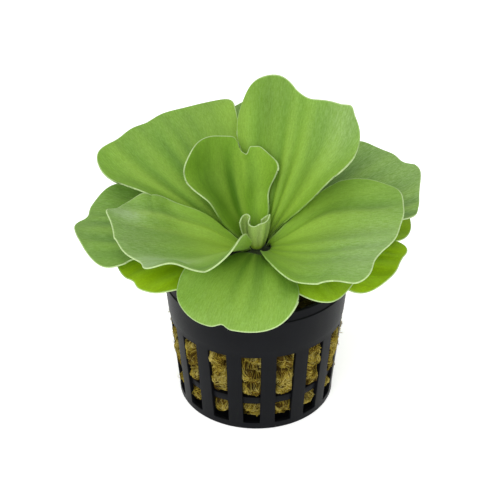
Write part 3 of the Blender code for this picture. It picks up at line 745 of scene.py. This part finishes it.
def leaf_material(name, tone, settings):
    """Soft green blade: ribs, fine hairs, a pale rim and light that comes through, with painted shade at
    the root, at the foot, in the rib valleys and in marked spots, painted light on the rib ridges and in
    marked spots, and a haze of hairs that is partly painted sheen.
    """
    made, tree, shader = new_material(name, LEAF_ROUGHNESS, LEAF_SPECULAR)
    colour = getattr(settings, tone)
    deep = [part * share for part, share in zip(colour, settings.deep)]
    dark = [part * ROOT_PAINTED_SHADE for part in colour]
    blade = add_node(tree, "ShaderNodeUVMap", uv_map="blade").outputs["UV"]
    amount = {
        key: add_node(tree, "ShaderNodeAttribute", attribute_name=key).outputs["Fac"]
        for key in ("edge", "rim", "rib", "root", "deep", "light", "haze")
    }
    hairs = blade_noise(tree, blade, *HAIRS)
    grain = blade_noise(tree, blade, *GRAIN)
    patches = blade_noise(tree, blade, *PATCHES)
    root_hairs = blade_noise(tree, blade, *ROOT_HAIRS)
    # Painted shade in marked spots and at the foot, and random patches that darken towards the same tint
    shade = arithmetic(tree, "ADD", amount["deep"], map_range(tree, patches, *PATCHES_TO_DEEP))
    tint = blend_colours(tree, shade, colour, deep)
    # Painted light in marked spots and on the rib ridges, painted shade in the rib valleys
    tint = blend_colours(tree, amount["light"], tint, settings.light)
    tint = blend_colours(tree, map_range(tree, amount["rib"], *RIDGES_TO_PAINTED_LIGHT), tint, settings.light)
    tint = blend_colours(tree, map_range(tree, amount["rib"], *VALLEYS_TO_PAINTED_SHADE), tint, deep)
    # Haze of the pale hairs, partly painted sheen
    haze = arithmetic(tree, "MULTIPLY", amount["haze"], map_range(tree, hairs, *HAIRS_TO_HAZE))
    tint = blend_colours(tree, haze, tint, settings.bloom)
    # Pale rim of the hairy margin, faded towards the foot as painted shade
    rim = arithmetic(tree, "MULTIPLY", map_range(tree, amount["edge"], *EDGE_TO_RIM), amount["rim"])
    tint = blend_colours(tree, rim, tint, settings.edge)
    # Painted shade at the root, streaked by the root hairs
    root = arithmetic(tree, "MULTIPLY", amount["root"], map_range(tree, root_hairs, *HAIRS_TO_ROOT))
    tint = blend_colours(tree, root, tint, dark)
    speckle = map_range(tree, arithmetic(tree, "ADD", grain, hairs), *GRAIN_TO_SPECKLE)
    tint = blend_colours(tree, 1.0, tint, speckle, "MULTIPLY")
    tree.links.new(tint, shader.inputs["Base Color"])
    shader.inputs["Sheen Weight"].default_value = SHEEN
    shader.inputs["Sheen Roughness"].default_value = SHEEN_ROUGHNESS
    shader.inputs["Sheen Tint"].default_value = SHEEN_TINT
    add_bump(tree, shader, hairs, *HAIR_BUMP)
    glow = add_node(tree, "ShaderNodeBsdfTranslucent", {"Color": tint})
    mix = add_node(
        tree, "ShaderNodeMixShader", {0: LIGHT_THROUGH, 1: shader.outputs[0], 2: glow.outputs[0]},
    )
    tree.links.new(mix.outputs[0], tree.nodes["Material Output"].inputs["Surface"])
    return made


class PLANT_OT_leaves(bpy.types.Operator):
    """Make the grown leaves of the rosette"""
    bl_idname = "plant.leaves"
    bl_label = "Make Leaves"

    def execute(self, context):
        settings = context.scene.water_lettuce.leaves
        tones = {finish["tone"] for finish in LEAF_FINISH.values()}
        materials = {tone: leaf_material("leaf " + tone, tone, settings) for tone in sorted(tones)}
        for name, leaf in LEAVES.items():
            finish = LEAF_FINISH[name]
            build_leaf(name, leaf, finish, settings, materials[finish["tone"]])
        return {"FINISHED"}


class PLANT_OT_young_leaf(bpy.types.Operator):
    """Make the half-rolled young leaf in the middle"""
    bl_idname = "plant.young_leaf"
    bl_label = "Make Young Leaf"

    def execute(self, context):
        settings = context.scene.water_lettuce.leaves
        material = leaf_material("leaf young", "young", settings)
        build_leaf("leaf_young", YOUNG_LEAF, YOUNG_FINISH, settings, material)
        return {"FINISHED"}


# Side slots: how many, where the first one is, and the angle, height and number of face
# columns of each
SLOT_COUNT = 16
SLOT_PITCH = 360.0 / SLOT_COUNT
SLOT_TURN = -3.4
SLOT_ANGLE = 12.3
SLOT_FLARE = 1.0
SLOT_BOTTOM = 2.3
SLOT_TOP = 27.7
WALL_COLUMNS = 12
SLOT_COLUMNS = 6

# Wall: the step above the slots, the curve at its foot, and its plain upper part
WALL_STEP = 0.2
WALL_STEP_HEIGHT = 30.2
WALL_STEP_RISE = 0.5
FOOT_CURVE = 0.5
FOOT_CURVE_MIDDLE = 0.15
UPPER_WALL = (34.0, 38.0)

# Ledge and lip: where the ledge's curve starts under it, then shares of its width with
# heights over it, and how the lip leans in
LEDGE_WIDTH = 0.35
LEDGE_START = 0.25
LEDGE_CURVE = ((0.8, -0.04), (0.3, 0.0), (0.0, 0.05))
LIP_FOOT_LEAN = 0.05
LIP_FOOT_HEIGHT = 0.3
LIP_LEAN = 0.3

# Inner hoop behind the slots
HOOP_BOTTOM = 9.4
HOOP_TOP = 11.8
HOOP_INSET = 0.9
HOOP_DEPTH = 1.5
HOOP_ROUNDING = 0.2

# Floor slots, one under every second side slot. Faces under FLOOR_LEVEL are the floor's.
FLOOR_SLOT_INNER = 5.5
FLOOR_SLOT_OUTER = 15.5
FLOOR_SLOT_EVERY = 2
FLOOR_LEVEL = 0.01

# Rounded edges of the moulding
EDGE_ROUNDING = 0.18 * MM
EDGE_SEGMENTS = 2
SHARP_ANGLE = math.radians(40)
MERGE_DISTANCE = 0.001

# Plastic: noises in cycles per metre with their detail, and what they do
PLASTIC_ROUGHNESS = 0.42
PLASTIC_SPECULAR = 0.08
PLASTIC_CLOUDS = (160.0, 4.0)
PLASTIC_GRAIN = (6000.0, 2.0)
CLOUD_RANGE = (0.3, 0.7)
CLOUD_LIGHT = 1.25
GRAIN_TO_ROUGHNESS = (0.3, 0.7, 0.38, 0.5)
GRAIN_BUMP = (0.25, 0.03)


def wall_radius(pot, height):
    """Outer radius of the tapered pot wall, in millimetres."""
    base = pot.base_radius / MM
    taper = base + (pot.ledge_radius / MM - base) * height / (pot.ledge_height / MM)
    return taper if height >= WALL_STEP_HEIGHT else taper - WALL_STEP * min(1.0, height / SLOT_BOTTOM)


def spin_profile(points, steps, closed=False):
    """Turns a profile of (radius, height) points once around the Z axis."""
    bm = bmesh.new()
    verts = [bm.verts.new((radius, 0.0, height)) for radius, height in points]
    edges = [bm.edges.new(pair) for pair in zip(verts, verts[1:])]
    if closed:
        edges.append(bm.edges.new((verts[-1], verts[0])))
    bmesh.ops.spin(
        bm, geom=verts + edges, cent=(0, 0, 0), axis=(0, 0, 1),
        angle=math.tau, steps=steps, use_merge=True,
    )
    bmesh.ops.remove_doubles(bm, verts=bm.verts, dist=MERGE_DISTANCE)
    bmesh.ops.recalc_face_normals(bm, faces=bm.faces)
    return bm


def shell_profile(pot):
    """Outer face of the pot from the middle of the floor to the top of the lip."""
    ledge = pot.ledge_height / MM
    lip = pot.ledge_radius / MM - LEDGE_WIDTH
    foot = wall_radius(pot, 0.0)
    heights = (
        FOOT_CURVE, SLOT_BOTTOM, HOOP_BOTTOM, HOOP_TOP, SLOT_TOP, WALL_STEP_HEIGHT - WALL_STEP_RISE,
        WALL_STEP_HEIGHT, *UPPER_WALL, ledge - LEDGE_START,
    )
    floor = [(radius, 0.0) for radius in (0.0, FLOOR_SLOT_INNER, FLOOR_SLOT_OUTER, foot - FOOT_CURVE)]
    floor.append((foot - FOOT_CURVE_MIDDLE, FOOT_CURVE_MIDDLE))
    wall = [(wall_radius(pot, height), height) for height in heights]
    rim = [(lip + LEDGE_WIDTH * share, ledge + rise) for share, rise in LEDGE_CURVE]
    rim += [(lip - LIP_FOOT_LEAN, ledge + LIP_FOOT_HEIGHT), (lip - LIP_LEAN, pot.height / MM)]
    return floor + wall + rim


def slot_angle(height):
    """Angle that a slot spans, which grows a little with the height."""
    return SLOT_ANGLE + SLOT_FLARE * (min(height, SLOT_TOP) / SLOT_TOP - 0.5)


def column_angle(column, height):
    """Angle of a column of points, so that the first ones of each pitch lie in its slot."""
    span = slot_angle(height)
    slot, place = divmod(column, WALL_COLUMNS)
    if place <= SLOT_COLUMNS:
        offset = span * (place / SLOT_COLUMNS - 0.5)
    else:
        bar = (place - SLOT_COLUMNS) / (WALL_COLUMNS - SLOT_COLUMNS)
        offset = span / 2 + (SLOT_PITCH - span) * bar
    return SLOT_TURN + slot * SLOT_PITCH + offset


def set_columns(bm, columns):
    """Moves the evenly spun columns to the edges of the slots."""
    for vert in bm.verts:
        radius = math.hypot(vert.co.x, vert.co.y)
        column = round(math.atan2(vert.co.y, vert.co.x) / math.tau * columns) % columns
        angle = math.radians(column_angle(column, vert.co.z) - 90.0)
        vert.co.x = radius * math.cos(angle)
        vert.co.y = radius * math.sin(angle)


def is_slot(face):
    """True for a face of the shell that lies in a side slot or a floor slot."""
    centre = face.calc_center_median()
    angle = math.degrees(math.atan2(centre.x, -centre.y)) - SLOT_TURN + slot_angle(centre.z) / 2
    slot, rest = divmod(angle % 360.0, SLOT_PITCH)
    side = SLOT_BOTTOM < centre.z < SLOT_TOP
    between = FLOOR_SLOT_INNER < math.hypot(centre.x, centre.y) < FLOOR_SLOT_OUTER
    floor = centre.z < FLOOR_LEVEL and between and slot % FLOOR_SLOT_EVERY == 0
    return rest < slot_angle(centre.z) and (side or floor)


def plastic_material(name, colour):
    """Moulded plastic: nearly black, fine grain, soft gloss."""
    made, tree, shader = new_material(name, PLASTIC_ROUGHNESS, PLASTIC_SPECULAR)
    place = add_node(tree, "ShaderNodeTexCoord").outputs["Object"]
    clouds = map_range(tree, noise_value(tree, place, *PLASTIC_CLOUDS), *CLOUD_RANGE)
    tint = blend_colours(tree, clouds, colour, [part * CLOUD_LIGHT for part in colour])
    tree.links.new(tint, shader.inputs["Base Color"])
    grain = noise_value(tree, place, *PLASTIC_GRAIN)
    tree.links.new(map_range(tree, grain, *GRAIN_TO_ROUGHNESS), shader.inputs["Roughness"])
    add_bump(tree, shader, grain, *GRAIN_BUMP)
    return made


class PLANT_OT_pot(bpy.types.Operator):
    """Make the slotted net pot"""
    bl_idname = "plant.pot"
    bl_label = "Make Pot"

    def execute(self, context):
        pot = context.scene.water_lettuce.pot
        columns = SLOT_COUNT * WALL_COLUMNS
        plastic = plastic_material("pot plastic", pot.plastic)
        self.make_shell(pot, columns, plastic)
        self.make_hoop(pot, columns, plastic)
        return {"FINISHED"}

    def make_shell(self, pot, columns, plastic):
        bm = spin_profile(shell_profile(pot), columns)
        set_columns(bm, columns)
        bmesh.ops.delete(bm, geom=[face for face in bm.faces if is_slot(face)], context="FACES")
        shell = finish_piece("net_pot", bm, plastic, ("pot",))
        wall = shell.modifiers.new("wall", "SOLIDIFY")
        wall.thickness = pot.wall
        wall.offset = -1.0
        wall.use_even_offset = True
        round_off = shell.modifiers.new("rounded edges", "BEVEL")
        round_off.width = EDGE_ROUNDING
        round_off.segments = EDGE_SEGMENTS
        round_off.limit_method = "ANGLE"
        round_off.angle_limit = SHARP_ANGLE
        smooth = shell.modifiers.new("smooth corners", "WEIGHTED_NORMAL")
        smooth.keep_sharp = True

    def make_hoop(self, pot, columns, plastic):
        outer = wall_radius(pot, HOOP_BOTTOM) - HOOP_INSET
        rise = wall_radius(pot, HOOP_TOP) - wall_radius(pot, HOOP_BOTTOM)
        section = [
            (outer, HOOP_BOTTOM), (outer + rise, HOOP_TOP),
            (outer - HOOP_DEPTH, HOOP_TOP), (outer - HOOP_DEPTH, HOOP_BOTTOM),
        ]
        ring = spin_profile(section, columns, closed=True)
        corners = [edge for edge in ring.edges if edge.calc_face_angle(0) > 1.0]
        bmesh.ops.bevel(
            ring, geom=corners, offset=HOOP_ROUNDING, segments=EDGE_SEGMENTS, profile=0.5,
            affect="EDGES", material=-1,
        )
        finish_piece("net_pot_hoop", ring, plastic)


# Plug of rock wool: its ends, its rounded foot, and its faces
WOOL_BOTTOM = 1.6
WOOL_TOP = 34.6
WOOL_FOOT_RADIUS = 17.5
WOOL_FOOT_HEIGHT = 9.0
WOOL_WALL_GAP = 0.5
PLUG_COLUMNS = 288
PLUG_ROWS = 130
PLUG_SQUARENESS = 8

# The plug's bulge into the slots and its dent behind the hoop, with the distances over
# which they fade: degrees at a slot's sides, millimetres up and down
WOOL_BULGE = -0.35
BULGE_SIDE_FADE = 1.8
BULGE_FOOT_FADE = 3
BULGE_TOP_FADE = 1.5
HOOP_CLEARANCE = 0.6
HOOP_FADE = 1.2
HOOP_DENT = 1.6

# The plug's lumps: height, size and shift of each noise, and the share that is left
# behind the bars; and its pits: size, shift, range and depth
LUMPS = ((0.5, 6.0, (0, 0, 0)), (0.45, 1.3, (7, 3, 1)))
LUMPS_BEHIND_BARS = 0.25
PIT_SIZE = 2.3
PIT_SHIFT = (1, 9, 4)
PIT_RANGE = (0.12, 0.4)
PIT_DEPTH = 3.2

# Noises round the plug: scale, the height that counts as one radius, and shift
CLUMP_NOISE = (19, 25)
FLOW_NOISE = (4, 16)
ZONE_NOISE = (8, 25, (5, 2, 8))

# Where the fibres lie: the share of a slot to each side of its middle, and how often and
# under which clump noise a place is drawn again
FIBRE_SPREAD = 0.6
CLUMP_TRIES = 4
CLUMP_LIMITS = (-0.25, -0.05)

# How a fibre runs: its points and steps, how it leans and drifts, how far its arch stands
# off, how thin its ends are, and the least radius it is turned with
FIBRE_POINTS = 5
FIBRE_STEP = (0.4, 1.1)
FLOW_LEAN = 6.0
LEAN_SPREAD = 0.3
LEAN_DRIFT = 0.25
FIBRE_LIFT = (0.0, 0.7)
LOOSE_LIFT = (0.6, 1.6)
LOOSE_OVER = 0.985
END_LIFT = 0.3
LEAST_LIFT = 0.05
END_THICKNESS = 0.5
LEAST_RADIUS = 5.0

# How a fibre gets its tone
FIBRE_TONES = ("ochre", "straw", "brown")
ZONE_TONE = 0.8
CLUMP_TONE = 0.6
TONE_SPREAD = 0.22
STRAW_OVER = 0.32
BROWN_UNDER = -0.12

# Wool: noises in cycles per metre with their detail and roughness, and what they do
WOOL_ROUGHNESS = 0.95
WOOL_SPECULAR = 0.15
WOOL_CLUMPS = (420.0, 5.0, 0.65)
WOOL_CLUMP_RANGE = (0.35, 0.62)
WOOL_GRAIN = (2500.0, 6.0, 0.7)
WOOL_BUMP = (0.8, 0.4)
CORE_SHADE = 0.3
FIBRE_SHADE = 0.6


def wool_radius(pot, height):
    """Radius of the plug behind the bars, which rounds off towards the floor."""
    full = wall_radius(pot, height) - pot.wall / MM - WOOL_WALL_GAP
    rise = min(1.0, max(0.0, (height - WOOL_BOTTOM) / WOOL_FOOT_HEIGHT))
    return WOOL_FOOT_RADIUS + (full - WOOL_FOOT_RADIUS) * math.sqrt(1 - (1 - rise) ** 2)


def smooth_step(value, low, high):
    share = min(1.0, max(0.0, (value - low) / (high - low)))
    return share * share * (3 - 2 * share)


def wool_surface(pot, turn, height):
    """Radius of the plug's surface, which bulges into the slots but not through the hoop."""
    radius = wool_radius(pot, height)
    offset = (math.degrees(turn) + 90.0 - SLOT_TURN) % SLOT_PITCH
    offset = min(offset, SLOT_PITCH - offset)
    slot = smooth_step(slot_angle(height) / 2 - offset, 0.0, BULGE_SIDE_FADE)
    slot *= (
        smooth_step(height, SLOT_BOTTOM, SLOT_BOTTOM + BULGE_FOOT_FADE)
        * smooth_step(SLOT_TOP - height, 0.0, BULGE_TOP_FADE)
    )
    middle = (HOOP_BOTTOM + HOOP_TOP) / 2
    half = (HOOP_TOP - HOOP_BOTTOM) / 2 + HOOP_CLEARANCE
    hoop = 1 - smooth_step(abs(height - middle), half, half + HOOP_FADE)
    place = Vector((math.cos(turn) * radius, math.sin(turn) * radius, height))
    lump = sum(rise * noise.noise(place / size + Vector(shift)) for rise, size, shift in LUMPS)
    pits = smooth_step(noise.noise(place / PIT_SIZE + Vector(PIT_SHIFT)), *PIT_RANGE) * PIT_DEPTH
    reach = (pot.wall / MM + WOOL_WALL_GAP + WOOL_BULGE) * slot * (1 - hoop)
    lump *= LUMPS_BEHIND_BARS + (1 - LUMPS_BEHIND_BARS) * slot
    return radius + reach - HOOP_DENT * hoop + lump - pits * slot


def plug_noise(turn, height, scale, radius_height, shift=(0, 0, 0)):
    """Noise that runs on smoothly round the plug."""
    place = Vector((math.cos(turn), math.sin(turn), height / radius_height))
    return noise.noise(place * scale + Vector(shift))


def wool_material(name, colour, shade):
    """Matt wool, with darker clumps down to a share of its colour."""
    made, tree, shader = new_material(name, WOOL_ROUGHNESS, WOOL_SPECULAR)
    place = add_node(tree, "ShaderNodeTexCoord").outputs["Object"]
    clumps = map_range(tree, noise_value(tree, place, *WOOL_CLUMPS), *WOOL_CLUMP_RANGE)
    tint = blend_colours(tree, clumps, [part * shade for part in colour], colour)
    tree.links.new(tint, shader.inputs["Base Color"])
    add_bump(tree, shader, noise_value(tree, place, *WOOL_GRAIN), *WOOL_BUMP)
    return made


class PLANT_OT_wool(bpy.types.Operator):
    """Make the plug of rock wool and its loose fibres"""
    bl_idname = "plant.wool"
    bl_label = "Make Rock Wool"

    def execute(self, context):
        pot = context.scene.water_lettuce.pot
        wool = context.scene.water_lettuce.wool
        self.make_plug(pot, wool)
        fibres = [wool_material("fibre " + tone, getattr(wool, tone), FIBRE_SHADE) for tone in FIBRE_TONES]
        for batch in range(wool.batches):
            self.make_fibres("wool_fibres_%d" % (batch + 1), pot, wool, fibres, random.Random(batch))
        return {"FINISHED"}

    def make_plug(self, pot, wool):
        """A ball that is squared up to fill the pot."""
        bm = bmesh.new()
        bmesh.ops.create_uvsphere(bm, u_segments=PLUG_COLUMNS, v_segments=PLUG_ROWS, radius=1.0)
        middle = (WOOL_TOP + WOOL_BOTTOM) / 2
        for vert in bm.verts:
            turn = math.atan2(vert.co.y, vert.co.x)
            flat = math.hypot(vert.co.x, vert.co.y)
            squared = (flat ** PLUG_SQUARENESS + abs(vert.co.z) ** PLUG_SQUARENESS) ** (1 / PLUG_SQUARENESS)
            height = middle + (WOOL_TOP - middle) * vert.co.z / squared
            radius = wool_surface(pot, turn, height) * flat / squared
            vert.co = (radius * math.cos(turn), radius * math.sin(turn), height)
        bmesh.ops.recalc_face_normals(bm, faces=bm.faces)
        # The plug's colour is darkened as painted shade of the hollows between the fibres
        core = wool_material("matted wool", wool.core, CORE_SHADE)
        finish_piece("wool_plug", bm, core, ("rock_wool",))

    def make_fibres(self, name, pot, wool, materials, draw):
        """Loose fibres that lie in clumps on the plug."""
        curve = bpy.data.curves.new(name, "CURVE")
        curve.dimensions = "3D"
        curve.bevel_depth = wool.fibre_radius
        curve.bevel_resolution = 0
        curve.use_fill_caps = True
        for material in materials:
            curve.materials.append(material)
        last = FIBRE_POINTS - 1
        for _ in range(wool.fibres):
            for _ in range(CLUMP_TRIES):
                slot = draw.randrange(SLOT_COUNT)
                aside = draw.uniform(-FIBRE_SPREAD, FIBRE_SPREAD) * SLOT_ANGLE
                turn = math.radians(SLOT_TURN + slot * SLOT_PITCH + aside - 90.0)
                height = draw.uniform(SLOT_BOTTOM, SLOT_TOP)
                clump = plug_noise(turn, height, *CLUMP_NOISE)
                if clump > draw.uniform(*CLUMP_LIMITS):
                    break
            lean = FLOW_LEAN * plug_noise(turn, height, *FLOW_NOISE) + draw.gauss(0, LEAN_SPREAD)
            lift = draw.uniform(*(LOOSE_LIFT if draw.random() > LOOSE_OVER else FIBRE_LIFT))
            zone = plug_noise(turn, height, *ZONE_NOISE)
            tone = ZONE_TONE * zone + CLUMP_TONE * clump + draw.gauss(0, TONE_SPREAD)
            kind = "straw" if tone > STRAW_OVER else "brown" if tone < BROWN_UNDER else "ochre"
            spline = curve.splines.new("POLY")
            spline.points.add(last)
            spline.material_index = FIBRE_TONES.index(kind)
            step = draw.uniform(*FIBRE_STEP)
            for index, point in enumerate(spline.points):
                arch = math.sin(math.pi * (index + END_LIFT) / (last + 2 * END_LIFT))
                radius = wool_surface(pot, turn, height)
                radius += lift * arch + LEAST_LIFT
                point.co = (radius * math.cos(turn) * MM, radius * math.sin(turn) * MM, height * MM, 1.0)
                point.radius = END_THICKNESS if index in (0, last) else 1.0
                turn += math.cos(lean) * step / max(radius, LEAST_RADIUS)
                height = min(WOOL_TOP, max(WOOL_BOTTOM, height + math.sin(lean) * step))
                lean += draw.gauss(0, LEAN_DRIFT)
        holder = bpy.data.objects.new(name + "_curve", curve)
        mesh = bpy.data.meshes.new_from_object(holder)
        bpy.data.objects.remove(holder)
        bpy.data.curves.remove(curve)
        add_piece(name, mesh)


# Crown: its radius, rings and columns, the (radius, height) points of its underside, its lumps, and its
# finish. Its nearly black greens are painted shade of the gaps between the leaf feet, with random streaks
CROWN_RADIUS = 9.6
CROWN_RINGS = 12
CROWN_COLUMNS = 64
CROWN_UNDERSIDE = [(8.4, 38.5), (6.5, 35.2), (0.0, 35.2)]
CROWN_LUMP_SIZE = 1.6
CROWN_LUMP_DEPTH = 0.04
CROWN_DULLNESS = 0.8
CROWN_STREAKS = (900.0, 5.0)
CROWN_STREAK_RANGE = (0.3, 0.7)
CROWN_DARK = (0.004, 0.008, 0.001)
CROWN_GREEN = (0.03, 0.055, 0.008)


class PLANT_OT_crown(bpy.types.Operator):
    """Make the short stem under the leaves"""
    bl_idname = "plant.crown"
    bl_label = "Make Crown"

    def execute(self, context):
        radii = [CROWN_RADIUS * ring / CROWN_RINGS for ring in range(CROWN_RINGS + 1)]
        top = [(radius, crown_height(radius)) for radius in radii]
        bm = spin_profile(top + CROWN_UNDERSIDE, CROWN_COLUMNS)
        for vert in bm.verts:
            rough = noise.noise(Vector(vert.co) / CROWN_LUMP_SIZE)
            vert.co = vert.co - Vector((vert.co.x, vert.co.y, 0)) * CROWN_LUMP_DEPTH * abs(rough)
        made, tree, shader = new_material("crown green", CROWN_DULLNESS)
        place = add_node(tree, "ShaderNodeTexCoord").outputs["Object"]
        streaks = map_range(tree, noise_value(tree, place, *CROWN_STREAKS), *CROWN_STREAK_RANGE)
        tree.links.new(blend_colours(tree, streaks, CROWN_DARK, CROWN_GREEN), shader.inputs["Base Color"])
        finish_piece("crown_stem", bm, made, ("crown",))
        return {"FINISHED"}


# Studio: floor size in metres, and name, place, width and power of each soft light
WHITE = (1.0, 1.0, 1.0, 1.0)
FLOOR_SIZE = 3.0
FLOOR_DULLNESS = 0.9
SENSOR_WIDTH = 36.0
NEAREST_VIEW = 0.01
SOFT_LIGHTS = (
    ("top_light", (-0.2, 0.0, 0.9), 0.7, 2.0),
    ("front_light", (-0.12, -0.78, 0.5), 0.9, 5.3),
)


class PLANT_OT_stage(bpy.types.Operator):
    """Make the floor, the light and the camera"""
    bl_idname = "plant.stage"
    bl_label = "Make Stage"

    def execute(self, context):
        scene = context.scene
        stage = scene.water_lettuce.stage
        self.make_floor(scene, stage)
        self.make_sky(scene, stage)
        for light in SOFT_LIGHTS:
            self.make_light(scene, *light)
        self.make_camera(scene, stage)
        scene.view_settings.view_transform = "Standard"
        return {"FINISHED"}

    def make_floor(self, scene, stage):
        bm = bmesh.new()
        bmesh.ops.create_grid(bm, x_segments=1, y_segments=1, size=FLOOR_SIZE)
        mesh = bpy.data.meshes.new("studio_floor")
        bm.to_mesh(mesh)
        bm.free()
        floor = bpy.data.objects.new("studio_floor", mesh)
        scene.collection.objects.link(floor)
        made, _, shader = new_material("studio floor", FLOOR_DULLNESS)
        shader.inputs["Base Color"].default_value = (*stage.floor, 1.0)
        shader.inputs["Emission Color"].default_value = WHITE
        shader.inputs["Emission Strength"].default_value = stage.glow
        mesh.materials.append(made)

    def make_sky(self, scene, stage):
        """Even light from all round, which the camera itself sees as white."""
        world = bpy.data.worlds.new("studio")
        world.use_nodes = True
        tree = world.node_tree
        background = tree.nodes["Background"]
        background.inputs["Color"].default_value = WHITE
        seen = add_node(tree, "ShaderNodeLightPath").outputs["Is Camera Ray"]
        strength = map_range(tree, seen, 0.0, 1.0, stage.sky, 1.0, smooth=False)
        tree.links.new(strength, background.inputs["Strength"])
        scene.world = world

    def make_light(self, scene, name, place, size, power):
        light = bpy.data.lights.new(name, "AREA")
        light.shape = "DISK"
        light.size = size
        light.energy = power
        made = bpy.data.objects.new(name, light)
        made.location = place
        made.rotation_euler = Vector(place).to_track_quat("Z", "Y").to_euler()
        scene.collection.objects.link(made)

    def make_camera(self, scene, stage):
        aim = Vector((stage.aim_side, stage.aim_depth, stage.aim_height))
        back = Vector((0.0, -math.cos(stage.elevation), math.sin(stage.elevation)))
        camera = bpy.data.objects.new("camera", bpy.data.cameras.new("camera"))
        camera.data.lens = stage.lens
        camera.data.sensor_width = SENSOR_WIDTH
        camera.data.clip_start = NEAREST_VIEW
        camera.location = aim + back * stage.distance
        camera.rotation_euler = (math.pi / 2 - stage.elevation, 0.0, 0.0)
        scene.collection.objects.link(camera)
        scene.camera = camera


class PLANT_PT_water_lettuce(bpy.types.Panel):
    """Lists the steps that make the plant"""
    bl_idname = "PLANT_PT_water_lettuce"
    bl_label = "Water Lettuce"
    bl_space_type = "VIEW_3D"
    bl_region_type = "UI"
    bl_category = "Plant"

    def draw(self, context):
        settings = context.scene.water_lettuce
        for operator in OPERATORS:
            self.layout.operator(operator.bl_idname)
        for group in (settings.leaves, settings.pot, settings.wool, settings.stage):
            box = self.layout.box()
            for key in group.__annotations__:
                box.prop(group, key)


OPERATORS = (
    PLANT_OT_stage, PLANT_OT_pot, PLANT_OT_wool, PLANT_OT_crown, PLANT_OT_leaves, PLANT_OT_young_leaf,
)
CLASSES = (
    LeafSettings, PotSettings, WoolSettings, StageSettings, WaterLettuceSettings,
    *OPERATORS, PLANT_PT_water_lettuce,
)


def register():
    for item in CLASSES:
        bpy.utils.register_class(item)
    bpy.types.Scene.water_lettuce = bpy.props.PointerProperty(type=WaterLettuceSettings)


def unregister():
    del bpy.types.Scene.water_lettuce
    for item in reversed(CLASSES):
        bpy.utils.unregister_class(item)


def main():
    register()
    bpy.ops.plant.stage()
    bpy.ops.plant.pot()
    bpy.ops.plant.wool()
    bpy.ops.plant.crown()
    bpy.ops.plant.leaves()
    bpy.ops.plant.young_leaf()


if __name__ == "__main__":
    main()
